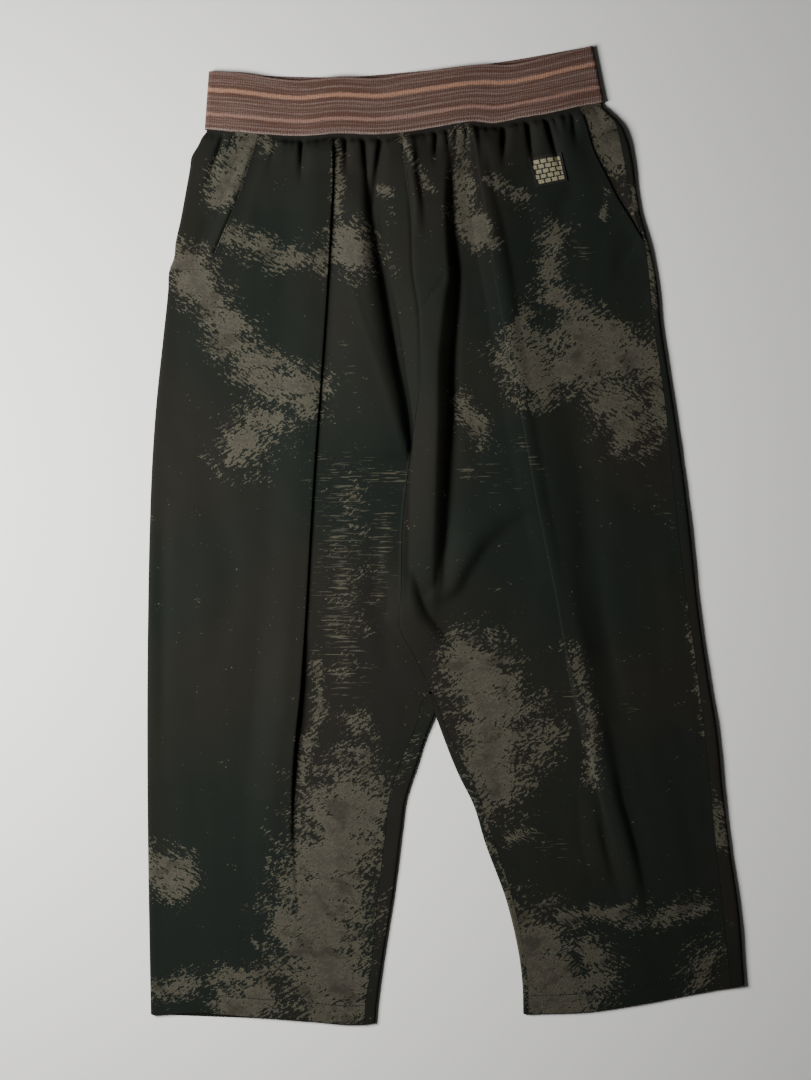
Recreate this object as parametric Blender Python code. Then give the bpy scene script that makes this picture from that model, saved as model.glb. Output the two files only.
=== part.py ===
"""Cropped, wide, drop-crotch joggers with an exposed elastic waist, laid flat on a surface.

The garment lies on its back on z = 0, waist towards +Y, seen from +Z. Left and right are the
wearer's, so the left leg is at +X. Each panel is a sheet of cloth: rows run across it, from a
seam or edge to the next seam, and a wall is grown to both sides of the sheet.
Tables and sizes are in millimetres, and the meshes are in metres.
"""
import math

import bpy
import numpy as np

MM = 0.001

# driving sizes
WALL = 1.0                # cloth wall
SEAM_GAP = 0.44           # between the walls of two pieces along a seam
HEM_DEPTH = 18.0          # turned-up hem
HEM_EXTRA = 0.8           # what the turned hem adds to the wall, on its inner side
LAP = 6.0                 # cloth that runs up under the elastic
ELASTIC = 1.4             # elastic wall
BAND_Z = 5.2              # middle of the front elastic's wall, which waves above it
BAND_LIFT = 0.8
BAND_WAVES = [(0.5, 104, 20), (0.25, 73, 70)]      # height, length, start
LAY_GAP = 0.40            # between layers that lie on each other
UNDER_TUCK = 10.0         # right side seam, in from the edge, on the underside
POCKET_TUCK = 9.0         # pocket facing, past the mouth and under the front
TUCK_START = 376.0        # level where the facing starts to lie under the front
TUCK_EASE = 6.0           # and above which it doesn't start to drop
FACING_FREE = 9.0         # from the right edge, the facing's strip that always shows
CENTRE = (-0.5, 1.0)      # middle of the laid garment in the tables, moved to the origin

FLOOR_MID = WALL / 2      # middle of the wall that lies on the floor
FRONT_MID = 3.6           # middle of the front wall where it lies flat
FRONT_MIN = 2.3           # lowest middle of the front wall
MIN_ROUNDING = 0.8        # how softly the cloth comes to it
BACK_LAP_MID = ELASTIC + LAY_GAP + WALL / 2
FRONT_LAP_DROP = ELASTIC / 2 + LAY_GAP + WALL / 2
FACING_DROP = WALL + LAY_GAP + 0.15

WAIST = 390.0             # level of the band's lower edge
LAPPED = WAIST + LAP
HEM = -459.0              # level of the hems
CROTCH = -148.0           # where the four panels meet, on the front face
APEX = -170.0             # top of the gap between the legs
MOUTH_END_RIGHT = 255.0   # lower ends of the pocket mouths
MOUTH_END_LEFT = 281.0

# A (start, length) pair is where something begins and over how far it comes or goes.
WAIST_BEND = (300.0, 86.0)         # rows start to follow the band
HEM_BEND = (-200.0, 259.0)         # and the hem
BELOW_LAP = (2.0, 11.0)            # cloth comes down from the band's height, below its edge
MOUTH_FADE = (-20.0, 15.0)         # a mouth's lift, from its lower end
MOUTH_LIFT = 0.8                   # front cloth on a mouth, over its facing
MOUTH_REACH = 8.0
PUFF = (1.1, 13.0)                 # rise along the outer edges, and its width
LOWEST_BY_BAND = (1.2, 30.0)       # how much higher the lowest front is by the band, and how far
BY_EDGE = 3.0                      # from an edge to where its height is read
GAP_DIP = 30.0                     # rows dip towards the gap's top over this length
GAP_TURN = (70.0, 34.0)            # the gap's edge turns by this angle over this length

# Lines on the laid garment: (y, x) from the waist down.
OUTER_RIGHT = [(396, -229.4), (388, -229.8), (382, -234), (374, -238), (364, -244), (352, -246), (330, -250),
               (303, -255), (280, -260), (266, -261.5), (256, -265.5), (236, -267), (188, -272), (131, -278),
               (76, -282), (-4, -285), (-91, -286.5), (-282, -286.5), (-407, -284.5), (-459, -283.5)]
OUTER_LEFT = [(424, 146.6), (418, 147.3), (413, 149), (404, 157), (397, 164.5), (380, 173.5), (361, 178),
              (332, 182), (308, 186), (289, 191.5), (253, 200), (199, 206), (134, 216), (77, 224.5), (4, 233.5),
              (-68, 241), (-131, 250), (-190, 259.5), (-247, 265), (-296, 271), (-359, 280), (-430, 285.5)]
CENTRE_SEAM = [(396, -44), (380, -42.5), (342, -37), (303, -34), (251, -32), (214, -26.5), (184, -25.5),
               (150, -25.5), (110, -30), (76, -35), (44, -39), (13, -42), (-54, -43.5), (-91, -44),
               (-115, -31), (-135, -21), (-148, -15)]
INSEAM_RIGHT = [(-148, -15), (-156, -22), (-176, -27.5), (-196, -35), (-215, -43.5), (-239, -51.5),
                (-256, -56), (-282, -58.5), (-346, -66), (-412, -72), (-445, -77.5), (-467, -79)]
EDGE_RIGHT = [(-170, -11), (-196, -21), (-215, -27), (-256, -40), (-283, -43.5), (-346, -51.5),
              (-398, -60), (-445, -66.5), (-467, -68.5)]
INSEAM_LEFT = [(-148, -15), (-162, -9), (-194, 3.5), (-220, 17), (-240, 27), (-283, 42), (-336, 60),
               (-372, 69), (-405, 75), (-435, 78), (-460, 78.5)]
EDGE_LEFT = [(-170, -11), (-197, -1.5), (-230, 12), (-256, 25), (-293, 36.5), (-352, 58), (-382, 65.5),
             (-409, 70.5), (-435, 73), (-458, 73.5)]
SIDE_SEAM_LEFT = [(424, 142.6), (418, 143.3), (413, 145), (404, 153), (397, 160), (384, 164.5), (364, 169),
                  (341, 174), (303, 182), (281, 189.5), (256, 193), (199, 198.5), (159, 205), (104, 212),
                  (52, 217),
                  (12, 221), (-56, 229.5), (-105, 236.5), (-197, 248), (-296, 258), (-389, 268), (-430, 272)]
BACK_SEAM = [(396, -41), (100, -30), (-100, -14), (-170, -11)]
MOUTH_RIGHT = [(396, -179), (383, -181), (364, -186.5), (326, -199), (290, -214.5), (265, -224), (250, -224.5)]
MOUTH_LEFT = [(416, 124), (401, 131), (369, 141), (343, 154), (323, 164), (307, 174), (281, 189.5)]

# Edges of the elastic and of the hems: (x, y) from the right to the left.
BAND_LOWER = [(-232, 389.5), (-207, 387), (-167, 384), (-133, 383), (-110, 385), (-62, 384.5), (-36, 387),
              (-9, 391.5), (27, 396.5), (44, 395), (70, 400), (96, 404), (122, 410), (151, 415.5)]
BAND_UPPER = [(-228, 445), (-194, 442.5), (-167, 438.5), (-141, 436), (-104, 439.5), (-62, 438.5),
              (-36, 443), (-9, 446.5), (38, 451.5), (62, 451.5), (83, 455.5), (109, 462), (140, 469.5)]
BAND_UPPER_BACK = [(-228, 445), (-150, 440.5), (-104, 440), (-36, 445), (40, 453), (140, 470)]
HEM_EDGE = [(-284, -458), (-232, -457), (-179, -461), (-131, -464.5), (-97, -467.5), (-68, -466.5),
            (0, -460), (73, -458), (147, -454), (176, -449.5), (215, -442.5), (253, -435), (286, -430)]

# Knife pleats: the fold edge (y, x), then how the fold is laid. bend is the fold's radius, under how far
# the cloth runs back beneath the fold, and turn its angle: 180 lies folded, 0 is smooth cloth.
PLEAT_RIGHT = [(396, -111), (342, -109), (303, -111), (255, -113.5), (207, -116.5), (150, -120.5),
               (76, -126), (-4, -131), (-91, -136), (-148, -140), (-215, -147), (-282, -150),
               (-349, -147), (-459, -145)]
PLEAT_LEFT = [(402, 23), (364, 28), (332, 33), (301, 38.5), (270, 42.5), (240, 47), (196, 55), (147, 65),
              (102, 74), (33, 86), (-9, 94.5), (-55, 104), (-109, 114), (-148, 123.5), (-217, 140.5),
              (-297, 163), (-346, 177), (-440, 190)]
FOLD_RIGHT = [(388, 0.7, 0, 0), (382, 0.75, 1, 60), (375, 0.8, 2.5, 115), (366, 0.8, 5, 160),
              (352, 0.8, 8, 180), (76, 0.8, 9, 180), (-91, 0.9, 7, 180), (-148, 1.1, 4.5, 150),
              (-200, 1.3, 3.2, 112), (-250, 1.3, 2.6, 80), (-300, 1.3, 2, 48), (-350, 1.3, 1, 20), (-400, 1.3, 0, 0)]
FOLD_LEFT = [(388, 0.7, 0, 0), (382, 0.75, 1, 50), (375, 0.8, 2, 100), (366, 0.8, 4, 150),
             (352, 0.8, 6, 180), (76, 0.8, 8, 180), (-40, 0.8, 6, 180), (-91, 0.9, 4, 140),
             (-130, 1.2, 3, 80), (-180, 1.6, 2.5, 45), (-260, 1.8, 2, 30), (-346, 1.8, 0, 0)]
PLATEAU_GOES = (12.0, 34.0)   # the flap's height dies away from its fold

# Large folds of the front: (y, x, height, half width to the right leg, half width to the left leg).
# A valley's height is below zero. "bank" is cloth that bulges from the right leg's side and falls
# steeply to its line: its widths are the fall's and the bulge's. "soft" is round, "crisp" comes to a
# point, and "lip" is a low step whose left leg's side lies on top.
CREVICE = {"kind": "bank", "rows": [                            # beside the right pleat
    (345, -75, 0, 7, 30), (332, -74.5, 2.5, 8, 32), (318, -73, 5.5, 10, 34), (300, -70, 8, 12, 36),
    (270, -65, 9.5, 15, 42), (245, -60, 10.5, 17, 48), (207, -53.5, 11, 18, 56), (169, -47, 11, 17, 64),
    (130, -39, 10, 14, 74), (100, -35.5, 8.6, 11, 84), (84, -34, 6, 8, 86), (70, -35, 0, 6, 86)]}
CENTRE_FOLD = {"kind": "bank", "rows": [                         # down the middle
    (372, 5, 0, 5, 60), (356, 5, 3.5, 6, 64), (337, 5.5, 6.5, 8, 68), (315, 6, 8.5, 9, 70),
    (279, 9.5, 10, 11, 70),
    (246, 13, 11, 14, 68), (227, 12, 11.2, 16, 62), (207, 10.5, 11.2, 18, 56), (169, 8, 11, 20, 48),
    (130, 7.5, 11, 19, 42), (102, 6.5, 10.8, 18, 38), (73, 4.5, 10, 17, 38), (35, 2.5, 9, 15, 38),
    (-4, 0, 7.6, 13, 36), (-40, -3, 5.5, 11, 34), (-56, -4.5, 2.4, 9, 34), (-80, -6, 0, 8, 34)]}
LARGE_FOLDS = [
    CREVICE,
    CENTRE_FOLD,
    {"kind": "crisp", "rows": [                                 # groove at its foot
        (360, 5.5, 0, 5, 4), (337, 6, -1.5, 5, 4), (246, 13.5, -1.8, 6, 5), (169, 8.5, -2, 8, 7),
        (102, 7, -2.2, 10, 12), (35, 3, -2.6, 12, 19), (-30, -2.5, -2, 10, 16), (-52, -4, 0, 10, 12)]},
    {"kind": "crisp", "rows": [                                 # and at the crevice's
        (320, -73, 0, 5, 4), (290, -68.5, -1.5, 6, 5), (245, -60, -2, 8, 6), (169, -47, -2, 8, 5),
        (100, -35.5, -1.5, 6, 4), (80, -34, 0, 5, 4)]},
    {"kind": "bank", "rows": [                                  # short fold beside the centre seam
        (392, -30, 0, 4, 12), (378, -30, 3, 5, 12), (360, -29, 4.6, 5, 12), (340, -26.5, 5, 6, 12),
        (318, -23.5, 4, 6, 12), (300, -22, 2, 7, 12), (284, -21, 0, 7, 12)]},
    {"kind": "lip", "rows": [                                   # the seam's flap
        (90, -32.5, 0, 0, 22), (70, -36, 1.0, 0, 22), (13, -42, 1.3, 0, 22), (-54, -43.5, 1.2, 0, 20),
        (-95, -43, 0, 0, 18)]},
    {"kind": "bank", "rows": [                                  # the cloth that stands at the left pleat's edge
        (400, 33, 0, 7, 20), (370, 38, 1.6, 8, 22), (342, 43, 2.6, 9, 24), (301, 53, 3.4, 11, 28),
        (270, 59.5, 3.6, 12, 30), (240, 65, 3.4, 12, 30), (196, 71, 2.6, 11, 28), (147, 79, 2.0, 10, 28),
        (102, 86, 1.8, 10, 28), (33, 98, 1.8, 10, 28), (-9, 106.5, 1.4, 10, 26), (-60, 115, 0, 9, 24)]},
    {"kind": "bank", "rows": [                                  # rising to the left pleat
        (44, 112, 0, 17, 44), (25, 82, 2.2, 18, 40), (11.5, 63, 3.6, 17, 36), (0, 48.6, 4.6, 15, 32),
        (-17, 34, 5.2, 12, 30), (-37, 21, 5.0, 9, 26), (-52, 12.5, 3.6, 7, 22), (-66, -1, 0, 6, 18)]},
    {"kind": "bank", "rows": [                                  # the curve under the centre
        (-30, -34, 0, 7, 26), (-41, -30, 3.0, 8, 28), (-58, -25, 5.2, 9, 30), (-74, -18, 5.8, 11, 34),
        (-87, -8, 5.2, 12, 38), (-98, -1, 3.2, 12, 42), (-112, 5, 0, 12, 44)]},
    {"kind": "crisp", "rows": [                                 # small diagonal fold across the seam
        (254, 0, 0, 6, 4), (244, -4, -1.4, 7, 5), (232, -12, -1.8, 7, 5), (216, -24, -1.0, 7, 5),
        (208, -30, 0, 6, 5)]},
    {"kind": "soft", "rows": [                                  # soft hollows of the legs
        (140, 126, 0, 14, 16), (89, 128, -1.4, 14, 16), (28, 137, -2.0, 15, 18), (-36, 137, -2.4, 16, 18),
        (-68, 139, -2.4, 16, 18), (-111, 147, -2.0, 14, 16), (-166, 154, -1.8, 14, 16),
        (-217, 161, -1.8, 13, 15),
        (-263, 174, -1.6, 12, 14), (-297, 184, -1.0, 12, 14), (-345, 191, 0, 12, 14)]},
    {"kind": "soft", "rows": [
        (70, -228, 0, 16, 16), (20, -220, -1.4, 16, 16), (-40, -207, -1.6, 16, 16), (-80, -213, -1.4, 16, 16),
        (-145, -226, 0, 16, 16)]},
    {"kind": "soft", "rows": [
        (40, -272, 0, 8, 9), (-10, -272, -1.2, 8, 9), (-138, -272, -1.2, 8, 9), (-240, -272, 0, 8, 9)]},
]
FOLD_ROUNDING = 1.4       # a crisp fold's own roundness

# Gathers under the elastic: where each trough starts and ends (x), how far it runs down from the
# band, and its depth.
GATHERS = [
    (-221, -225, 18, 1.8), (-212.5, -234, 56, 4.6), (-203, -206, 16, 1.8), (-190, -191, 16, 2.2),
    (-176, -180, 14, 1.8), (-162, -172, 42, 3.0), (-152, -153, 15, 2.4), (-146, -147, 18, 2.8),
    (-138.5, -139.5, 52, 8.2), (-131, -132, 16, 2.6), (-122, -123, 14, 2.3),
    (-99.5, -98.5, 48, 6.5), (-89, -89, 16, 2.4), (-79.7, -72, 88, 8.2), (-69.5, -66, 112, 9.4),
    (-55, -54, 16, 2.4), (-21, -20, 20, 2.6), (-11, -11, 28, 4.0), (0, 3, 30, 4.0),
    (10, 7, 40, 4.6), (20, 18, 40, 7.0), (31, 35, 52, 6.0),
    (38.5, 38, 18, 3.0), (48, 48, 14, 2.4), (56, 54, 44, 6.0), (68, 68, 16, 2.8),
    (76, 82.5, 40, 6.6), (86, 88, 16, 2.8), (94, 107, 44, 7.4), (101.5, 109, 26, 3.6),
    (112, 114, 20, 2.6), (121, 124, 24, 2.4), (131, 138, 36, 2.2), (141, 150, 32, 1.4)]
GATHER_HALF_WIDTHS = (4.0, 9.5)    # of a trough at the band and 90 mm below
GATHER_REACH = 90.0
GATHER_SIDES = (0.6, 1.0)          # a trough is steeper on the right leg's side
GATHER_START = (2.0, 9.0)
CALM_BY_PLEAT = (0.85, 8.0)        # share of the gathers that a pleat takes away, and its reach
GATHERED_RISE = 3.4                # the front's rise below the band, where it comes and where it goes
GATHERED_COMES = (2.0, 14.0)
GATHERED_GOES = (16.0, 75.0)
GATHERED_FROM_EDGE = 40.0          # half as high at the outer edges, over this width
BACK_GATHER_PITCH = 12.5
BACK_GATHER_RISE = 1.2
BACK_GATHER_COMES = (3.0, 9.0)
BACK_GATHER_GOES = (14.0, 24.0)

SPACING = 17.0            # widest step between stations on smooth cloth
CLOSEST = 2.2             # nearest two stations may lie
PAST_FOOT = 6.0           # a station past a bank's foot
FLOOR_RUN = 2             # a back panel's stretch on the floor, in its rows' places across

# Rows across the panels, from the waist down.
GATHERED_LEVELS = [388, 382, 375, 366, 354, 340]
UPPER_LEVELS = [320, 299, 281, 268, 255, 236, 208, 180, 150, 118, 84, 50, 17, -15, -45, -74, -104, -130]
LOWER_LEVELS = [-156, -166, -180, -200, -226, -256, -290, -325, -360, -395, -423]
HEM_LEVELS = [HEM + HEM_DEPTH + 1, HEM + HEM_DEPTH, HEM]


def smooth(value):
    """0 to 1 with level ends"""
    t = np.clip(value, 0.0, 1.0)
    return t * t * (3 - 2 * t)


def begun(at, span):
    """0 before a (start, length) pair, 1 after it"""
    return smooth((at - span[0]) / span[1])


def curve(rows):
    """a smooth line through (at, value) rows"""
    at, value = np.array(sorted(rows), float).T
    slope = np.gradient(value, at)

    def read(x):
        x = np.clip(x, at[0], at[-1])
        k = np.clip(np.searchsorted(at, x) - 1, 0, len(at) - 2)
        step = at[k + 1] - at[k]
        t = (x - at[k]) / step
        return ((1 + 2 * t) * (1 - t) ** 2 * value[k] + t * (1 - t) ** 2 * step * slope[k]
                + t * t * (3 - 2 * t) * value[k + 1] + t * t * (t - 1) * step * slope[k + 1])
    return read


def columns(rows):
    """straight-line readings of a table, one for each column after the first"""
    table = np.array(sorted(rows), float)
    return [lambda x, c=c: np.interp(x, table[:, 0], table[:, c]) for c in range(1, table.shape[1])]


outer_right, outer_left = curve(OUTER_RIGHT), curve(OUTER_LEFT)
centre_seam, back_seam = curve(CENTRE_SEAM), curve(BACK_SEAM)
inseam_right, inseam_left = curve(INSEAM_RIGHT), curve(INSEAM_LEFT)
edge_right, edge_left = curve(EDGE_RIGHT), curve(EDGE_LEFT)
side_seam_left = curve(SIDE_SEAM_LEFT)
mouth_right, mouth_left = curve(MOUTH_RIGHT), curve(MOUTH_LEFT)
pleat_right, pleat_left = curve(PLEAT_RIGHT), curve(PLEAT_LEFT)
band_lower, band_upper, band_upper_back = curve(BAND_LOWER), curve(BAND_UPPER), curve(BAND_UPPER_BACK)
hem_edge = curve(HEM_EDGE)
for large_fold in LARGE_FOLDS:
    large_fold["line"] = curve([row[:2] for row in large_fold["rows"]])
fold_right, fold_left = columns(FOLD_RIGHT), columns(FOLD_LEFT)


def row_y(level, x):
    """height of the row at this level where it passes x: rows follow the band and the hem"""
    at_waist = begun(level, WAIST_BEND)
    at_hem = smooth((HEM_BEND[0] - level) / HEM_BEND[1])
    return level + (band_lower(x) - WAIST) * at_waist + (hem_edge(x) - HEM) * at_hem


def on_line(line, level, inset=0.0):
    """where the row at this level meets a line"""
    x = line(level) + inset
    for _ in range(4):
        x = line(row_y(level, x)) + inset
    return x, row_y(level, x)


def band_wave(x):
    """the front elastic's slow waves, above BAND_Z"""
    z = BAND_LIFT
    for height, length, start in BAND_WAVES:
        z = z + height * np.sin(2 * math.pi * (x + start) / length)
    return z


def below_band(x, y):
    return band_lower(x) - y


def level_of(x, y):
    """the level whose row passes a point of the upper garment"""
    return y - (band_lower(x) - WAIST) * begun(y, WAIST_BEND)


def near_mouth(x, y, reach):
    """1 on a pocket's mouth, 0 a few reaches away from it"""
    level = level_of(x, y)
    start, length = MOUTH_FADE
    right = np.exp(-((x - mouth_right(y)) / reach) ** 2) * smooth((level - MOUTH_END_RIGHT - start) / length)
    left = np.exp(-((x - mouth_left(y)) / reach) ** 2) * smooth((level - MOUTH_END_LEFT - start) / length)
    return np.maximum(right, left)


def gathers(x, y):
    """depth of the gathers' troughs"""
    down = below_band(x, y)
    narrow, wide = GATHER_HALF_WIDTHS
    total = np.zeros_like(down)
    for x_top, x_end, length, depth in GATHERS:
        t = np.clip(down / length, 0, 1)
        off = x - (x_top + (x_end - x_top) * t)
        width = narrow + (wide - narrow) * np.clip(down / GATHER_REACH, 0, 1)
        width = width * np.where(off < 0, *GATHER_SIDES)
        shape = np.exp(-1.4 * np.abs(off / width) ** 1.4)
        begin = begun(down, GATHER_START)
        total = total + depth * begin * (1 - smooth(t)) * shape
    share, reach = CALM_BY_PLEAT
    flat = np.exp(-((x - pleat_right(y)) / reach) ** 2) + np.exp(-((x - pleat_left(y)) / reach) ** 2)
    return total * (1 - share * np.clip(flat, 0, 1))


def fold_column(fold, y, k):
    """a large fold's height or width at y"""
    table = np.array(sorted(fold["rows"]), float)
    return np.interp(y, table[:, 0], table[:, k])


def fold_shape(kind, off, right, left):
    """0 to 1 across a large fold; off is the distance from its line, below 0 to the right leg"""
    if kind == "soft":
        return np.exp(-(1.3 * off / np.where(off < 0, right, left)) ** 2)
    if kind == "crisp":
        near = np.sqrt(off ** 2 + FOLD_ROUNDING ** 2) / np.where(off < 0, right, left)
        return np.clip(1 - near, 0, 1) ** 2
    if kind == "bank":
        out = (np.sqrt(off ** 2 + FOLD_ROUNDING ** 2) - off) / 2
        fall = 1 - (1 - np.clip(out / right, 0, 1)) ** 2
        return fall * (1 - np.clip((out - right) / (left - right), 0, 1) ** 1.5)
    return smooth((off + 2) / 3) * np.exp(-np.clip(off, 0, None) / left)


def large_folds(x, y):
    """height of the large folds"""
    total = np.zeros_like(x)
    for fold in LARGE_FOLDS:
        line, rows = fold["line"], fold["rows"]
        lean = (line(y + 1) - line(y - 1)) / 2
        off = (x - line(y)) / np.sqrt(1 + lean ** 2)
        inside = (y < rows[0][0]) & (y > rows[-1][0])
        shape = fold_shape(fold["kind"], off, fold_column(fold, y, 3), fold_column(fold, y, 4))
        total = total + fold_column(fold, y, 2) * shape * inside
    return total


def front_z(x, y):
    """middle of the front wall, pleats apart"""
    x, y = np.asarray(x, float), np.asarray(y, float)
    down = below_band(x, y)
    edge = np.minimum(x - outer_right(y), outer_left(y) - x)
    mouth = near_mouth(x, y, MOUTH_REACH)
    puff = PUFF[0] * np.exp(-(edge / PUFF[1]) ** 2)
    gathered = GATHERED_RISE * begun(down, GATHERED_COMES) * (1 - begun(down, GATHERED_GOES))
    gathered = gathered * (0.5 + 0.5 * smooth(edge / GATHERED_FROM_EDGE))
    raw = FRONT_MID + puff + gathered + MOUTH_LIFT * mouth
    raw = raw - gathers(x, y) * (1 - 0.7 * mouth) + large_folds(x, y)
    higher, reach = LOWEST_BY_BAND
    lowest = FRONT_MIN + FACING_DROP * mouth + higher * (1 - smooth((down - reach) / reach))
    free = 0.5 * (raw + lowest + np.sqrt((raw - lowest) ** 2 + MIN_ROUNDING))
    lapped = BAND_Z + band_wave(x) - FRONT_LAP_DROP
    return lapped + (free - lapped) * begun(down, BELOW_LAP)


def back_z(x, y):
    """middle of the back wall: flat on the floor, up on the elastic at the waist"""
    down = below_band(x, y)
    wave = 0.5 - 0.5 * np.cos(2 * math.pi * x / BACK_GATHER_PITCH)
    rise = BACK_GATHER_RISE * wave * begun(down, BACK_GATHER_COMES) * (1 - begun(down, BACK_GATHER_GOES))
    rise = rise * (1 - near_mouth(x, y, BACK_GATHER_PITCH))
    return FLOOR_MID + (BACK_LAP_MID - FLOOR_MID) * (1 - begun(down, BELOW_LAP)) + rise


class Row:
    """one row of a sheet: each station has its place across the panel and its x, y and z.
    The strip above the row uses its stations from above_from to above_to, and the strip below
    it those from below_from on."""

    def __init__(self):
        self.across = []
        self.points = []
        self.above_from = 0
        self.above_to = None
        self.below_from = 0

    def add(self, across, x, y, z):
        self.across.append(across)
        self.points.append((float(x), float(y), float(z)))


def station(row, across, x, level, height):
    """a station of a row on a height function"""
    y = row_y(level, x)
    row.add(across, x, y, height(x, y))


def roll(row, segment, edge, outward, z_low, z_high, upward, steps=4):
    """the cloth's turn round an edge, from the underside to the top or back"""
    radius = (z_high - z_low) / 2
    for k in range(1, steps):
        angle = -math.pi / 2 + math.pi * k / steps
        if not upward:
            angle = -angle
        reach = radius * (math.cos(angle) - 1) - WALL / 2
        x, y = edge[0] + outward[0] * reach, edge[1] + outward[1] * reach
        row.add(segment + k / steps, x, y, z_low + radius + radius * math.sin(angle))


def roll_start(edge, outward, z_low, z_high):
    """where the cloth leaves the flat and starts to turn"""
    reach = -(z_high - z_low) / 2 - WALL / 2
    return edge[0] + outward[0] * reach, edge[1] + outward[1] * reach


def run(row, segment, start, end, fractions, height):
    """stations along a straight stretch of a row on a height function"""
    for f in fractions:
        x = start[0] + (end[0] - start[0]) * f
        y = start[1] + (end[1] - start[1]) * f
        row.add(segment + f, x, y, height(x, y))


def pleat_stations(fold, y, steps=3, spread=0.6):
    """the knife pleat's profile: steps towards the centre and down, from the flap to the lower cloth"""
    bend, under, turn = (float(column(y)) for column in fold)
    turn = math.radians(turn)
    profile = []
    for k in range(steps + 1):
        a = turn * k / steps
        profile.append((bend * math.sin(a), -bend * (1 - math.cos(a))))
    x, z = profile[-1]
    x += under * math.cos(turn)
    z -= under * math.sin(turn)
    for k in range(steps + 1):
        a = turn * k / steps
        profile.append((x + bend * (math.sin(turn) - math.sin(turn - a)),
                        z - bend * (math.cos(turn - a) - math.cos(turn))))
    reach = bend * math.sin(min(turn, math.pi / 2))
    spread *= 1 - turn / math.pi
    return [(px - reach + spread * k, pz - profile[-1][1]) for k, (px, pz) in enumerate(profile)]


def flap_drop(fold, y):
    return pleat_stations(fold, y)[0][1]


def with_plateau(fold, pleat, x, y, side):
    """front surface raised by the flap beside a pleat; side is -1 for the right leg"""
    away = (x - pleat(y)) * side
    raised = flap_drop(fold, float(level_of(x, y))) * (1 - begun(away, PLATEAU_GOES))
    return front_z(x, y) + raised


def even(count):
    return [k / count for k in range(count + 1)]


def bank_marks(level):
    """the places of a row at each bank's crest, fall, foot and a little past it"""
    marks = []
    for fold in LARGE_FOLDS:
        foot, y = on_line(fold["line"], level)
        if fold["kind"] == "bank" and fold["rows"][-1][0] < y < fold["rows"][0][0]:
            fall, bulge = float(fold_column(fold, y, 3)), float(fold_column(fold, y, 4))
            steps = (-bulge, -fall, -fall / 2, -fall / 5, FOLD_ROUNDING, PAST_FOOT)
            marks += [float(foot) + step for step in steps]
    return marks


def stretch_stations(x_from, x_to, level):
    """stations between two places of a row: evenly spread, with some on each bank and each gather"""
    marks = bank_marks(level)
    down = WAIST - level
    if down > 2:
        troughs = sorted(x_top + (x_end - x_top) * down / length
                         for x_top, x_end, length, _ in GATHERS if length > down)
        marks += troughs + [(a + b) / 2 for a, b in zip(troughs, troughs[1:]) if b - a < 26]
    low, high = min(x_from, x_to), max(x_from, x_to)
    kept = []
    for mark in sorted(marks):
        if low + CLOSEST < mark < high - CLOSEST and (not kept or mark - kept[-1] > CLOSEST):
            kept.append(mark)
    stations = []
    for a, b in zip([low] + kept, kept + [high]):
        count = max(1, round((b - a) / SPACING))
        stations += [a + (b - a) * k / count for k in range(count)]
    stations.append(high)
    if x_to < x_from:
        stations.reverse()
    return stations


def front_row(level, right):
    """one row of a front panel, from its outer edge to the centre seam or inseam"""
    row = Row()
    side = -1 if right else 1
    pleat, fold = (pleat_right, fold_right) if right else (pleat_left, fold_left)

    def flap(x, y):
        return with_plateau(fold, pleat, x, y, side)

    pleat_x = on_line(pleat, level)[0]
    profile = pleat_stations(fold, level)
    fold_start = pleat_x - side * profile[0][0]
    if not right:
        start_x = on_line(mouth_left if level > MOUTH_END_LEFT else side_seam_left, level, -SEAM_GAP / 2)[0]
        first = 0.0
    else:
        edge = on_line(outer_right, level)
        z_top = float(flap(edge[0] + BY_EDGE, edge[1]))
        turn = roll_start(edge, (-1, 0), FLOOR_MID, z_top)
        start_x = turn[0]
        first = (on_line(mouth_right, level)[0] - start_x) / (fold_start - start_x)
        if level <= MOUTH_END_RIGHT:
            run(row, 0, (edge[0] + UNDER_TUCK, edge[1]), turn, even(1), lambda x, y: FLOOR_MID)
            roll(row, 1, edge, (-1, 0), FLOOR_MID, z_top, True)
            if level == MOUTH_END_RIGHT:
                for f in (0, 0.35 * first, 0.7 * first):
                    station(row, 3 + f, start_x + (fold_start - start_x) * f, level, flap)
                row.above_from = len(row.points)
            else:
                first = 0.0
    mouth_x = start_x + (fold_start - start_x) * first
    for x in stretch_stations(mouth_x, fold_start, level)[:-1]:
        station(row, 3 + (x - start_x) / (fold_start - start_x), x, level, flap)
    for k, (px, pz) in enumerate(profile):
        x = pleat_x - side * px
        y = row_y(level, x)
        row.add(4 + k / len(profile), x, y, front_z(x, y) + pz)
    if level >= CROTCH:
        end_x = on_line(centre_seam, level, side * SEAM_GAP / 2)[0]
    else:
        end_x = on_line(inseam_right if right else inseam_left, level, side * SEAM_GAP / 2)[0]
    fold_end = pleat_x - side * profile[-1][0]
    for x in stretch_stations(fold_end, end_x, level)[1:]:
        station(row, 5 + (x - fold_end) / (end_x - fold_end), x, level, front_z)
    return row


def wrapped_level(level):
    """height at which a row goes round the inner edge: rows dip towards the gap's top"""
    return level - (CROTCH - APEX) * math.exp(-abs(level - CROTCH) / GAP_DIP)


def inner_edge(level, right):
    """point of the inner edge and its outward direction, which turns round the gap's top"""
    y = row_y(level, edge_right(level) if right else edge_left(level))
    y = min(APEX, wrapped_level(y))
    angle, length = GAP_TURN
    lean = math.radians(-90 + angle * float(smooth((APEX - y) / length)))
    outward = (math.cos(lean) * (1 if right else -1), math.sin(lean))
    return (float(edge_right(y) if right else edge_left(y)), y), outward


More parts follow.
